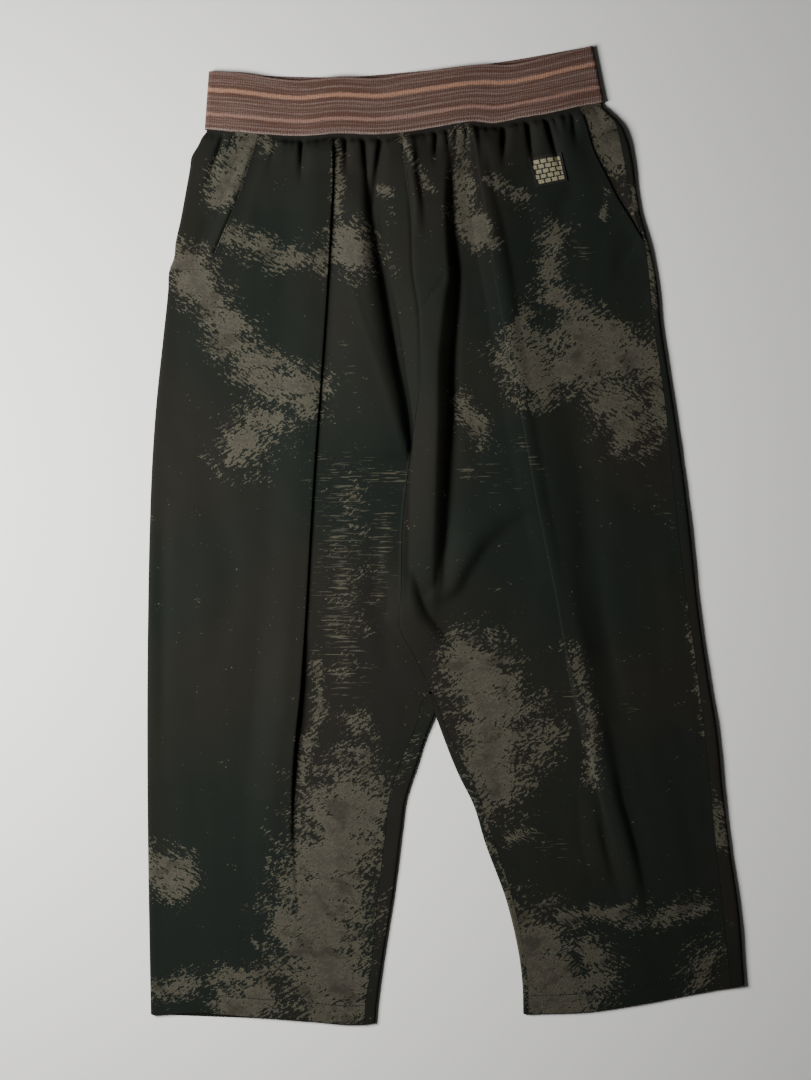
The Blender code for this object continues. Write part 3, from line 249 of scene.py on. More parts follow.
gathers = {
    "halfWidths": (4.0, 9.5), "widenOver": 90,      # at the elastic, and that far below it
    "sides": (0.6, 1.0),        # a trough is steep on the right leg's side
    "comes": (0, 5),            # below the elastic
    "calm": (0.85, 8),          # beside a pleat: the share that is left out, and its reach
    "backPitch": 12.5, "backRise": 1.2, "backComes": (3, 9), "backGoes": (14, 24),
    "backCalm": 14,             # how near a pocket mouth the back's die away
}

# Small creases of the front: points (x, y), height, half width.
creases = [
    ([(-95, 250), (-64, 159), (-39, 83)], 0.6, 2.6),
    ([(-225, 264), (-244, 258), (-254, 255)], -1.3, 3.2),
    ([(-221, 242), (-234, 234), (-243, 226)], -1.1, 3.4),
    ([(-232, 256), (-246, 249)], 0.8, 4.0),
    ([(-230, 300), (-236, 282), (-238, 268)], -0.7, 5.0),
    ([(-176, 352), (-183, 330), (-188, 306)], 0.6, 6.0),
    ([(150, 352), (158, 334), (168, 318)], -0.5, 4.5),
    ([(118, 330), (112, 314), (110, 300)], -1.1, 7.0),
    ([(96, 320), (102, 296), (112, 270)], 0.5, 9.0),
    ([(168, 300), (158, 276), (152, 250)], 0.5, 8.0),
    ([(184, 288), (172, 270), (166, 258)], -0.5, 4.0),
    ([(60, 150), (78, 128), (92, 96)], -0.5, 9.0),
    ([(-196, 110), (-205, 60), (-214, 20)], 0.4, 14.0),
    ([(-170, 220), (-186, 180), (-192, 130)], -0.4, 13.0),
    ([(-90, 60), (-84, 0), (-88, -60)], 0.5, 13.0),
    ([(-70, -10), (-66, -70), (-56, -120)], -0.6, 8.0),
    ([(-104, -180), (-98, -250), (-104, -320)], 0.5, 15.0),
    ([(-240, -250), (-236, -320), (-244, -400)], -0.4, 14.0),
    ([(210, -30), (222, -110), (236, -190)], 0.5, 12.0),
    ([(224, -230), (238, -310), (250, -380)], -0.5, 11.0),
    ([(120, -260), (132, -330), (136, -400)], 0.5, 14.0),
    ([(10, -150), (30, -190), (52, -226)], -0.5, 8.0),
    ([(-8, -120), (14, -150), (34, -176)], 0.6, 8.0),
]

# Slow rumples of the front, as (height, length, turn in degrees). Their crests sway from side to side.
rumples = [(0.40, 64, 14), (0.28, 41, 78), (0.34, 97, -24), (0.14, 26, 41)]
rumpleSway = {"by": 9, "pace": 0.4}     # mm, and how slowly, as a share of the length


def smooth(value):
    t = np.clip(value, 0.0, 1.0)
    return t * t * (3 - 2 * t)


def begun(at, span):        # 0 before a (start, length) pair, 1 after it
    return smooth((at - span[0]) / span[1])


def curve(rows):            # a smooth line through (at, value) rows
    at, value = np.array(sorted(rows), float).T
    slope = np.gradient(value, at)

    def read(x):
        x = np.clip(x, at[0], at[-1])
        k = np.clip(np.searchsorted(at, x) - 1, 0, len(at) - 2)
        step = at[k + 1] - at[k]
        t = (x - at[k]) / step
        return ((1 + 2 * t) * (1 - t) ** 2 * value[k] + t * (1 - t) ** 2 * step * slope[k]
                + t * t * (3 - 2 * t) * value[k + 1] + t * t * (t - 1) * step * slope[k + 1])
    return read


outerRight, outerLeft = curve(outerRightRows), curve(outerLeftRows)
centreSeam, backSeam = curve(centreSeamRows), curve(backSeamRows)
inseamRight, inseamLeft = curve(inseamRightRows), curve(inseamLeftRows)
edgeRight, edgeLeft = curve(edgeRightRows), curve(edgeLeftRows)
sideSeamLeft = curve(sideSeamLeftRows)
mouthRight, mouthLeft = curve(mouthRightRows), curve(mouthLeftRows)
bandLower, bandUpper, bandUpperBack = curve(bandLowerRows), curve(bandUpperRows), curve(bandUpperBackRows)
hemEdge = curve(hemEdgeRows)
for pleat in (pleatRight, pleatLeft):
    pleat["at"] = curve(pleat["line"])
    pleat["table"] = np.array(sorted(pleat["fold"]), float)
for fold in largeFolds:
    fold["at"] = curve([row[:2] for row in fold["rows"]])


# How the cloth lies

def rowY(level, x):         # a row of cloth follows the elastic and the hem
    atWaist = begun(level, cut["waistBend"])
    atHem = smooth((cut["hemBend"][0] - level) / cut["hemBend"][1])
    return level + (bandLower(x) - cut["waist"]) * atWaist + (hemEdge(x) - cut["hem"]) * atHem


def levelOf(x, y):          # the row that passes a point of the upper garment
    return y - (bandLower(x) - cut["waist"]) * begun(y, cut["waistBend"])


def onLine(line, level, inset=0.0):      # where a row meets a line
    x = line(level) + inset
    for _ in range(4):
        x = line(rowY(level, x)) + inset
    return float(x), float(rowY(level, x))


def bandHeight(x):
    z = elastic["middle"] + 0.8 + 0 * x
    for height, length, start in elastic["waves"]:
        z = z + height * np.sin(2 * math.pi * (x + start) / length)
    return z


def nearMouth(x, y, reach):     # 1 on a pocket mouth's line, 0 away from it and past its lower end
    level = levelOf(x, y)
    near = []
    for line, end in ((mouthRight, cut["mouthEndRight"]), (mouthLeft, cut["mouthEndLeft"])):
        near.append(np.exp(-((x - line(y)) / reach) ** 2) * smooth((level - end + 20) / 15))
    return np.maximum(*near)


def gatherDepth(x, y):
    down = bandLower(x) - y
    narrow, wide = gathers["halfWidths"]
    total = np.zeros_like(down)
    for xTop, xEnd, length, depth in gatherRows:
        t = np.clip(down / length, 0, 1)
        off = x - (xTop + (xEnd - xTop) * t)
        width = narrow + (wide - narrow) * np.clip(down / gathers["widenOver"], 0, 1)
        width = width * np.where(off < 0, *gathers["sides"])
        shape = np.exp(-1.4 * np.abs(off / width) ** 1.4)
        total = total + depth * begun(down, gathers["comes"]) * (1 - smooth(t)) * shape
    share, reach = gathers["calm"]
    nearPleat = sum(np.exp(-((x - pleat["at"](y)) / reach) ** 2) for pleat in (pleatRight, pleatLeft))
    return total * (1 - share * np.clip(nearPleat, 0, 1))


def column(rows, y, k):     # a table's column at y
    table = np.array(sorted(rows), float)
    return np.interp(y, table[:, 0], table[:, k])


def foldShape(kind, off, right, left):      # off is the distance from the line, below 0 to the right leg
    if kind == "soft":
        return np.exp(-(1.3 * off / np.where(off < 0, right, left)) ** 2)
    if kind == "crisp":
        near = np.sqrt(off ** 2 + roundedTo ** 2) / np.where(off < 0, right, left)
        return np.clip(1 - near, 0, 1) ** 2
    if kind in fallPower:
        out = (np.sqrt(off ** 2 + roundedTo ** 2) - off) / 2
        fall = 1 - (1 - np.clip(out / right, 0, 1)) ** fallPower[kind]
        return fall * (1 - np.clip((out - right) / (left - right), 0, 1) ** 1.5)
    return smooth((off + 2) / 3) * np.exp(-np.clip(off, 0, None) / left)


def foldHeight(x, y):
    total = np.zeros_like(x)
    for fold in largeFolds:
        line, rows = fold["at"], fold["rows"]
        lean = (line(y + 1) - line(y - 1)) / 2
        off = (x - line(y)) / np.sqrt(1 + lean ** 2)
        shape = foldShape(fold["kind"], off, column(rows, y, 3), column(rows, y, 4))
        inside = (y < rows[0][0]) & (y > rows[-1][0])
        total = total + column(rows, y, 2) * shape * inside
    return total


def distanceTo(points, x, y):       # from a path drawn through points
    path = np.array(points, float)
    near = np.full(x.shape, 1e9)
    for a, b in zip(path, path[1:]):
        run = b - a
        t = np.clip(((x - a[0]) * run[0] + (y - a[1]) * run[1]) / (run @ run), 0, 1)
        near = np.minimum(near, np.hypot(x - a[0] - run[0] * t, y - a[1] - run[1] * t))
    return near


def creaseHeight(x, y):
    total = np.zeros_like(x)
    for points, height, width in creases:
        total = total + height * np.exp(-(distanceTo(points, x, y) / width) ** 2)
    for height, length, turn in rumples:
        turn = math.radians(turn)
        along = x * math.cos(turn) + y * math.sin(turn)
        across = y * math.cos(turn) - x * math.sin(turn)
        sway = rumpleSway["by"] * np.sin(across / (rumpleSway["pace"] * length))
        total = total + height / 2 * np.sin(2 * math.pi / length * (along + sway))
    return total


def frontZ(x, y):           # middle of the front cloth, pleats apart
    x, y = np.asarray(x, float), np.asarray(y, float)
    down = bandLower(x) - y
    edge = np.minimum(x - outerRight(y), outerLeft(y) - x)
    rise, reach = heights["mouth"]
    mouth = nearMouth(x, y, reach)
    puff, width = heights["puff"]
    share, whole = heights["gatheredEdge"]
    lessGathered, lessGathers = heights["mouthCalm"]
    gathered = heights["gathered"] * begun(down, heights["gatheredComes"])
    gathered = gathered * (1 - begun(down, heights["gatheredGoes"]))
    gathered = gathered * (share + (1 - share) * smooth(edge / whole))
    gathered = gathered * (1 - lessGathered * nearMouth(x, y, 2 * reach))
    raw = heights["front"] + puff * np.exp(-(edge / width) ** 2) + gathered + rise * mouth
    raw = raw - gatherDepth(x, y) * (1 - lessGathers * mouth) + foldHeight(x, y) + creaseHeight(x, y)
    atMouth, atElastic = heights["lowestMore"]
    lowest = heights["lowest"] + atMouth * mouth + atElastic * (1 - begun(down, heights["moreGoes"]))
    free = 0.5 * (raw + lowest + np.sqrt((raw - lowest) ** 2 + heights["lowestRound"]))     # the higher one
    lapped = bandHeight(x) - elastic["wall"] / 2 - cut["layGap"] - cut["wall"] / 2
    return lapped + (free - lapped) * begun(down, heights["frontLap"])


def backZ(x, y):            # middle of the back cloth: on the floor, up on the elastic at the waist
    down = bandLower(x) - y
    wave = 0.5 - 0.5 * np.cos(2 * math.pi * x / gathers["backPitch"])
    rise = gathers["backRise"] * wave * begun(down, gathers["backComes"])
    rise = rise * (1 - begun(down, gathers["backGoes"])) * (1 - nearMouth(x, y, gathers["backCalm"]))
    onElastic = elastic["wall"] + cut["layGap"] + cut["wall"] / 2
    return heights["floor"] + (onElastic - heights["floor"]) * (1 - begun(down, heights["backLap"])) + rise


def onFloor(x, y):
    return heights["floor"] + 0 * x


def foldLaid(pleat, level):     # bend, under and turn at a level
    table = pleat["table"]
    bend, under, turn = (np.interp(level, table[:, 0], table[:, k]) for k in (1, 2, 3))
    return bend, under, np.radians(turn)


def flapRaise(pleat, x, y):     # the cloth beside a pleat stands on its fold
    bend, under, turn = foldLaid(pleat, levelOf(x, y))
    drop = 2 * bend * (1 - np.cos(turn)) + under * np.sin(turn)
    away = (x - pleat["at"](y)) * pleat["side"]
    return drop * (1 - begun(away, flapGoes))


def pleatProfile(pleat, level, steps=6, spread=0.6):   # towards the centre and down, across the fold
    bend, under, turn = (float(value) for value in foldLaid(pleat, level))
    a = turn * np.arange(steps + 1) / steps
    upper = np.column_stack([bend * np.sin(a), -bend * (1 - np.cos(a))])
    x = upper[-1, 0] + under * math.cos(turn)
    z = upper[-1, 1] - under * math.sin(turn)
    lower = np.column_stack([x + bend * (math.sin(turn) - np.sin(turn - a)),
                             z - bend * (np.cos(turn - a) - math.cos(turn))])
    profile = np.vstack([upper, lower])
    spreadOut = spread / 2 * (1 - turn / math.pi) * np.arange(len(profile))
    profile[:, 0] += spreadOut - bend * math.sin(min(turn, math.pi / 2))
    profile[:, 1] -= profile[-1, 1]
    return profile


# Rows of cloth. A station is (place across the panel, x, y, z).

facingUnder = cut["wall"] + cut["layGap"] + 0.15        # how far a facing's middle is below the front's


def rowStretch(first, xFrom, xTo, level, steps, height):
    t = np.linspace(0, 1, steps + 1)
    x = xFrom + (xTo - xFrom) * t
    y = rowY(level, x)
    return np.column_stack([first + t, x, y, height(x, y)])


def straight(first, start, end, steps, height):
    t = np.linspace(0, 1, steps + 1)
    x = start[0] + (end[0] - start[0]) * t
    y = start[1] + (end[1] - start[1]) * t
    return np.column_stack([first + t, x, y, height(x, y)])


def roll(first, edge, outward, low, high, upward, steps=9):     # round an edge
    t = np.arange(1, steps) / steps
    angle = (t - 0.5) * math.pi * (1 if upward else -1)
    radius = (high - low) / 2
    reach = radius * (np.cos(angle) - 1) - cut["wall"] / 2
    return np.column_stack([first + t, edge[0] + outward[0] * reach, edge[1] + outward[1] * reach,
                            low + radius + radius * np.sin(angle)])


def rollStart(edge, outward, low, high):
    reach = -(high - low) / 2 - cut["wall"] / 2
    return edge[0] + outward[0] * reach, edge[1] + outward[1] * reach


def makeRow(level, parts, aboveFrom=0, aboveTo=None, belowFrom=0):
    return {"level": level, "stations": np.vstack(parts), "aboveFrom": aboveFrom, "aboveTo": aboveTo,
            "belowFrom": belowFrom}


def foldColumn(fold, level, start, end):        # a column of stations runs along the fold's foot
    apart, above, below = (foldColumns[key] for key in ("apart", "above", "below"))
    least, most = foldColumns["along"]
    share = (onLine(fold["at"], level)[0] - start) / (end - start)
    high, low = fold["rows"][0][0], fold["rows"][-1][0]
    near = float(smooth((high + above - level) / above) * smooth((level - low + below) / below))
    return start + (end - start) * (apart + (min(max(share, least), most) - apart) * near)


def frontRow(level, right):
    pleat = pleatRight if right else pleatLeft
    side = pleat["side"]

    def flap(x, y):
        return frontZ(x, y) + flapRaise(pleat, x, y)

    pleatX = onLine(pleat["at"], level)[0]
    profile = pleatProfile(pleat, level)
    foldStart = pleatX - side * profile[0, 0]
    foldEnd = pleatX - side * profile[-1, 0]
    parts = []
    aboveFrom = 0
    if right:
        edge = onLine(outerRight, level)
        top = float(flap(edge[0] + 3, edge[1]))
        turn = rollStart(edge, (-1, 0), heights["floor"], top)
        begin = turn[0]
        mouth = (onLine(mouthRight, level)[0] - begin) / (foldStart - begin)
        if level <= cut["mouthEndRight"]:
            parts.append(straight(0, (edge[0] + cut["underTuck"], edge[1]), turn, 4, onFloor))
            parts.append(roll(1, edge, (-1, 0), heights["floor"], top, True))
            if level < cut["mouthEndRight"]:
                mouth = 0
            else:
                lead = rowStretch(3, begin, begin + (foldStart - begin) * mouth, level, 20, flap)[:-1]
                lead[:, 0] = 3 + (lead[:, 0] - 3) * mouth
                parts.append(lead)
                aboveFrom = sum(len(part) for part in parts)
    else:
        line = mouthLeft if level > cut["mouthEndLeft"] else sideSeamLeft
        begin = onLine(line, level, -cut["seamGap"] / 2)[0]
        mouth = 0
    outer = rowStretch(3, begin + (foldStart - begin) * mouth, foldStart, level, 64, flap)[:-1]
    outer[:, 0] = 3 + mouth + (outer[:, 0] - 3) * (1 - mouth)
    x = pleatX - side * profile[:, 0]
    y = rowY(level, x)
    folded = np.column_stack([4 + np.arange(len(x)) / len(x), x, y, frontZ(x, y) + profile[:, 1]])
    if level >= cut["crotch"]:
        end = onLine(centreSeam, level, side * cut["seamGap"] / 2)[0]
    else:
        end = onLine(inseamRight if right else inseamLeft, level, side * cut["seamGap"] / 2)[0]
    beside = foldColumn(crevice if right else centreFold, level, foldEnd, end)
    between = rowStretch(5, foldEnd, beside, level, 30, frontZ)[1:]
    inner = rowStretch(6, beside, end, level, 26, frontZ)[1:]
    return makeRow(level, parts + [outer, folded, between, inner], aboveFrom=aboveFrom)


def innerEdge(level, right):    # point and direction of the leg's inner edge, which turns round the gap's top
    line = edgeRight if right else edgeLeft
    first, turn, over = gapTop["turn"]
    y = float(rowY(level, line(level)))
    near = math.exp(-abs(y - cut["crotch"]) / gapTop["reach"])
    y = min(cut["apex"], y - (cut["crotch"] - cut["apex"]) * near)
    lean = math.radians(first + turn * float(smooth((cut["apex"] - y) / over)))
    return (float(line(y)), y), (math.cos(lean) * (1 if right else -1), math.sin(lean))


def backRow(level, right):
    side = -1 if right else 1
    floor = heights["floor"]
    parts = []
    if right:
        edge = onLine(outerRight, level)
        start = (edge[0] + cut["underTuck"] + cut["seamGap"], edge[1])
    else:
        seam = onLine(sideSeamLeft, level, cut["seamGap"] / 2)
        edge = onLine(outerLeft, level)
        top = float(frontZ(edge[0] - 3, edge[1]))
        low = float(backZ(edge[0] - 3, edge[1]))
        start = rollStart(edge, (1, 0), low, top)
        parts.append(straight(0, seam, start, 6, frontZ))
        parts.append(roll(1, edge, (1, 0), low, top, False))
    if level > cut["crotch"]:
        near = math.exp(-(level - cut["crotch"]) / gapTop["reach"])
        dip = gapTop["dip"] * (cut["crotch"] - cut["apex"]) * near
        endX, endY = onLine(backSeam, level, side * cut["seamGap"] / 2)
        parts.append(straight(2, start, (endX, endY - dip), 44, backZ))
        return makeRow(level, parts)
    edge, outward = innerEdge(level, right)
    if level == cut["crotch"]:
        edge = (edge[0] + side * cut["seamGap"] / 2, edge[1])
        seam = (float(centreSeam(level)) + side * cut["seamGap"] / 2, level - 3)
    else:
        seam = onLine(inseamRight if right else inseamLeft, level, -side * cut["seamGap"] / 2)
    top = float(frontZ(edge[0] - outward[0] * 3, edge[1] - outward[1] * 3))
    turn = rollStart(edge, outward, floor, top)
    parts.append(straight(2, start, turn, 44, backZ))
    aboveTo = sum(len(part) for part in parts) if level == cut["crotch"] else None
    parts.append(roll(3, edge, outward, floor, top, True))
    parts.append(straight(4, turn, seam, 6, frontZ))
    return makeRow(level, parts, aboveTo=aboveTo)


def facingRight(level):
    edge = onLine(outerRight, level)
    mouthX = onLine(mouthRight, level)[0]
    free = edge[0] + cut["facingFree"]
    flat = cut["facingLevel"]
    lastRoll = level < cut["mouthEndRight"] + 2
    top, over = facingBulge["top"]
    ends = float(begun(level - cut["mouthEndRight"], facingBulge["end"]) * smooth((top - level) / over))

    def height(x, y):
        drop = 0 * x
        if level < cut["tuckStart"] + cut["tuckEase"]:
            drop = smooth((x - free) / (mouthX - free - flat))
        if lastRoll:
            drop = np.maximum(drop, smooth((x - edge[0] - flat) / (cut["facingFree"] - flat)))
        bulge = facingBulge["height"] * begun(mouthX - x, facingBulge["comes"])
        bulge = bulge * (1 - begun(mouthX - x, facingBulge["goes"])) * ends
        return frontZ(x, y) - facingUnder * drop + bulge

    parts = []
    belowFrom = 0
    if level > cut["mouthEndRight"]:
        low = float(backZ(edge[0] + 3, edge[1]))
        top = float(height(np.array([edge[0] + 3]), np.array([edge[1]]))[0])
        turn = rollStart(edge, (-1, 0), low, top)
        parts.append(straight(0, (edge[0] + cut["underTuck"], edge[1]), turn, 4, backZ))
        parts.append(roll(1, edge, (-1, 0), low, top, True))
        parts.append(rowStretch(2, turn[0], free, level, 4, height)[:-1])
        parts[-1][:, 0] = 2 + np.arange(4) / 4
        if lastRoll:
            belowFrom = sum(len(part) for part in parts)
    last = mouthX + (cut["pocketTuck"] if level < cut["tuckStart"] else -cut["seamGap"])
    parts.append(rowStretch(3, free, last, level, 44, height))
    return makeRow(level, parts, belowFrom=belowFrom)


def facingLeft(level):
    first = onLine(sideSeamLeft, level, -cut["seamGap"] / 2)[0]
    mouthX = onLine(mouthLeft, level)[0]
    dropped = level < cut["mouthEndLeft"] + 9
    width = max(first - mouthX - 2.5, 1)
    if dropped:
        first = min(first, mouthX) - 1.5

    def height(x, y):
        drop = 1.0 if dropped else 0.0
        if not dropped and level < cut["tuckStart"] + cut["tuckEase"]:
            drop = smooth((first - x) / width)
        return frontZ(x, y) - facingUnder * drop

    last = mouthX + (-cut["pocketTuck"] if level < cut["tuckStart"] else cut["seamGap"])
    return makeRow(level, [rowStretch(2, first, last, level, 24, height)])


# Sheets

def strips(rows):           # vertices, and triangles between each row and the next
    firsts = np.cumsum([0] + [len(row["stations"]) for row in rows])
    triangles = []
    for r in range(len(rows) - 1):
        a = rows[r]["stations"][rows[r]["belowFrom"]:, 0]
        b = rows[r + 1]["stations"][rows[r + 1]["aboveFrom"]:rows[r + 1]["aboveTo"], 0]
        startA = firsts[r] + rows[r]["belowFrom"]
        startB = firsts[r + 1] + rows[r + 1]["aboveFrom"]
        i = j = 0
        while i < len(a) - 1 or j < len(b) - 1:
            if j == len(b) - 1 or (i < len(a) - 1 and a[i + 1] <= b[j + 1]):
                triangles.append((startA + i, startB + j, startA + i + 1))
                i += 1
            else:
                triangles.append((startA + i, startB + j, startB + j + 1))
                j += 1
    return np.vstack([row["stations"][:, 1:] for row in rows]), np.array(triangles)


def sheetNormals(vertices, triangles):
    corner = vertices[triangles]
    face = np.cross(corner[:, 1] - corner[:, 0], corner[:, 2] - corner[:, 0])
    normals = np.zeros_like(vertices)
    for k in range(3):
        np.add.at(normals, triangles[:, k], face)
    return normals / np.linalg.norm(normals, axis=1)[:, None]


def lengthTo(points):       # along a path, to each of its points
    return np.concatenate([[0], np.cumsum(np.linalg.norm(np.diff(points, axis=0), axis=1))])


def cutPlaces(rows, origin):        # UV in metres on the flat cloth: along the row from origin, and the level
    places = []
    for row in rows:
        along = lengthTo(row["stations"][:, 1:])
        start = np.interp(origin, row["stations"][:, 0], along)
        level = np.full(len(along), row.get("cutLevel", row["level"]))
        places.append(np.column_stack([along - start, level]))
    return np.vstack(places) * mm


def turnHem(rows, flip):            # the cloth folded up inside along the hem
    vertices, triangles = strips(rows)
    normals = sheetNormals(vertices, triangles[:, ::-1] if flip else triangles)
    firsts = np.cumsum([0] + [len(row["stations"]) for row in rows])
    inner = []
    for r in range(len(rows) - 1, 0, -1):
        row = rows[r]
        if row["level"] > cut["hem"] + cut["hemDepth"] + 0.1:
            break
        stations = row["stations"].copy()
        normal = normals[firsts[r]:firsts[r + 1]]
        if not inner:
            fold = stations.copy()
            fold[:, 1:] -= normal * hemTurn["radius"]
            fold[:, 2] -= hemTurn["past"]
            inner.append(dict(row, stations=fold, cutLevel=row["level"] - hemTurn["cloth"]))
        stations[:, 1:] -= normal * (2 * hemTurn["radius"])
        stations[:, 2] += hemTurn["back"]
        flatLevel = 2 * cut["hem"] - row["level"] - 2 * hemTurn["cloth"]
        inner.append(dict(row, stations=stations, cutLevel=flatLevel))
    return rows + inner


def addObject(name, vertices, faces, material):     # in mm, left selected alone and active
    placed = (vertices - np.array([*cut["centre"], 0])) * mm
    mesh = bpy.data.meshes.new(name)
    mesh.from_pydata(placed.tolist(), [], faces)
    mesh.materials.append(material)
    thing = bpy.data.objects.new(name, mesh)
    bpy.context.scene.collection.objects.link(thing)
    bpy.ops.object.select_all(action="DESELECT")
    thing.select_set(True)
    bpy.context.view_layer.objects.active = thing
    return thing


def makePiece(name, vertices, faces, places, material, wall, flip=False, printed=None):
    if flip:
        faces = faces[:, ::-1]
    thing = addObject(name, vertices, faces.tolist(), material)
    mesh = thing.data
    layer = mesh.uv_layers.new(name="cut")
    corners = np.empty(len(mesh.loops), np.int32)
    mesh.loops.foreach_get("vertex_index", corners)
    layer.data.foreach_set("uv", places[corners].astype(np.float32).ravel())
    if printed is not None:
        attribute = mesh.attributes.new("print", "FLOAT_VECTOR", "POINT")
        attribute.data.foreach_set("vector", printed.ravel())
    solid = thing.modifiers.new("wall", "SOLIDIFY")
    solid.thickness = wall * mm
    solid.offset = 0
    solid.use_quality_normals = True
    bpy.ops.object.modifier_apply(modifier=solid.name)
    bpy.ops.object.shade_smooth_by_angle(angle=math.radians(50))
    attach(thing, "root")
    return thing


rowSteps = {"gathers": 2.2, "body": 3.3, "hem": 3.0}     # between the panels' rows


def panelLevels():
    body, mouthEnd = rowSteps["body"], cut["mouthEndRight"]
    hemTop = cut["hem"] + cut["hemDepth"]
    levels = [cut["waist"] + cut["lap"]]
    levels += list(np.arange(cut["waist"], 300, -rowSteps["gathers"]))
    levels += list(np.arange(299, mouthEnd, -body)) + [mouthEnd]
    levels += list(np.arange(mouthEnd - body, cut["crotch"] + 1, -body)) + [cut["crotch"]]
    levels += list(np.arange(cut["crotch"] - 3.2, hemTop + 1, -body))
    levels += list(np.linspace(hemTop, cut["hem"], round(cut["hemDepth"] / rowSteps["hem"]) + 1))
    return levels


# Materials

def hexColour(code):        # sRGB hex to a linear colour
    channels = [int(code[k:k + 2], 16) / 255 for k in (1, 3, 5)]
    return [c / 12.92 if c <= 0.04045 else ((c + 0.055) / 1.055) ** 2.4 for c in channels] + [1.0]


def addNode(tree, kind, inputs, **settings):     # an input is a value, or a node or socket to link
    node = tree.nodes.new("ShaderNode" + kind)
    for name, value in settings.items():
        setattr(node, name, value)
    for socket, value in inputs.items():
        if isinstance(value, bpy.types.Node):
            value = value.outputs[0]
        if isinstance(value, bpy.types.NodeSocket):
            tree.links.new(value, node.inputs[socket])
        else:
            node.inputs[socket].default_value = value
    return node


def newMaterial(name, roughness, specular):
    material = bpy.data.materials.new(name)
    material.use_nodes = True
    shader = material.node_tree.nodes["Principled BSDF"]
    shader.inputs["Roughness"].default_value = roughness
    shader.inputs["Specular IOR Level"].default_value = specular
    return material, shader


def mottled(tree, place, size, turn=0.0, detail=2.0, rough=0.5):     # noise, of a size in mm before its turn
    turned = addNode(tree, "Mapping", {"Vector": place, "Rotation": (0, 0, math.radians(turn))})
    sized = addNode(tree, "Mapping", {"Vector": turned, "Scale": (1 / (size[0] * mm), 1 / (size[1] * mm), 1)})
    return addNode(tree, "TexNoise", {"Vector": sized, "Scale": 1.0, "Detail": detail, "Roughness": rough})


oneWave = 0.314         # a wave texture of this scale repeats once a unit


# The print: broad brushed patches, as (points x, y), half width, how solid (1 is whole, 0.5 only flecks)
# and the lean of its dashes (0 falls to the left leg, 1 rises to it).
printPatches = [
    ([(-178, 379), (-171, 373)], 8, 0.72, 0),
    ([(-217, 289), (-163, 268), (-115, 265), (-76, 277)], 13, 0.72, 0),
    ([(-94, 277), (-88, 270)], 17, 0.95, 0),
    ([(-247, 274), (-229, 226), (-202, 184), (-169, 148), (-130, 142)], 17, 0.86, 0),
    ([(-248, 268), (-238, 240)], 15, 1.0, 0),
    ([(-172, 112), (-196, 84)], 26, 0.74, 1),
    ([(-150, 160), (-132, 118)], 16, 0.62, 1),
    ([(-280, -318), (-262, -327)], 17, 0.92, 0),
    ([(-277, -436), (-217, -424), (-157, -416)], 13, 0.68, 1),
    ([(-206, -449), (-180, -444)], 14, 0.98, 1),
    ([(-96, -262), (-112, -318), (-124, -372), (-106, -432)], 33, 0.98, 1),
    ([(-152, -350), (-158, -372)], 16, 0.78, 1),
    ([(-127, -123), (-121, -159), (-133, -213)], 8, 0.66, 1),
    ([(-88, -180), (-80, -214), (-68, -249)], 16, 0.62, 1),
    ([(-136, -196), (-138, -236)], 9, 0.62, 0),
    ([(-106, 372), (-104, 306)], 7, 0.64, 1),
    ([(-43, 384), (-32, 356), (-13, 328)], 6, 0.62, 0),
    ([(-64, 334), (-54, 328)], 5, 0.66, 1),
    ([(12, 384), (14, 340), (19, 300), (40, 280)], 10, 0.74, 0),
    ([(18, 304), (28, 294)], 11, 1.0, 0),
    ([(41, 340), (58, 330), (76, 322)], 9, 0.64, 0),
    ([(154, 330), (150, 306)], 5, 0.62, 1),
    ([(104, 292), (97, 240), (112, 222), (134, 212), (166, 192)], 17, 0.66, 0),
    ([(74, 214), (66, 192)], 14, 0.66, 0),
    ([(72, 176), (84, 152), (120, 166), (160, 172), (204, 172)], 21, 0.92, 0),
    ([(118, 196), (150, 184)], 17, 0.95, 0),
    ([(160, 132), (178, 104)], 24, 0.82, 1),
    ([(202, 150), (204, 112)], 12, 0.72, 1),
    ([(15, 130), (28, 106), (30, 94)], 11, 0.72, 1),
    ([(232, -60), (240, -128), (250, -190)], 6, 0.62, 0),
    ([(26, -126), (44, -174), (42, -236)], 25, 0.96, 0),
    ([(2, -112), (40, -100)], 16, 0.62, 1),
    ([(82, -164), (104, -186), (92, -214)], 20, 0.6, 0),
    ([(118, -104), (130, -140), (138, -170), (140, -236)], 9, 0.64, 0),
    ([(80, -396), (92, -430), (112, -452)], 29, 0.98, 0),
    ([(108, -364), (150, -362), (200, -366), (248, -356)], 13, 0.66, 1),
    ([(140, -396), (148, -424)], 19, 0.74, 1),
    ([(250, -402), (238, -434)], 18, 0.64, 0),
    ([(60, -290), (84, -286)], 10, 0.56, 1),
    ([(-92, 46), (-90, -50), (-98, -120)], 52, 0.26, 1),        # and three places of flecks alone
    ([(10, 150), (24, 60)], 30, 0.16, 0),
    ([(-60, 330), (-52, 250)], 26, 0.14, 1),
]
facingPatches = [
    ([(-186, 378), (-196, 362), (-214, 330)], 14, 0.95, 0),
    ([(-252, 262), (-244, 240)], 15, 1.0, 0),
    ([(144, 402), (156, 384), (170, 360)], 16, 0.95, 0),
    ([(184, 330), (178, 310)], 5, 0.62, 0),
]
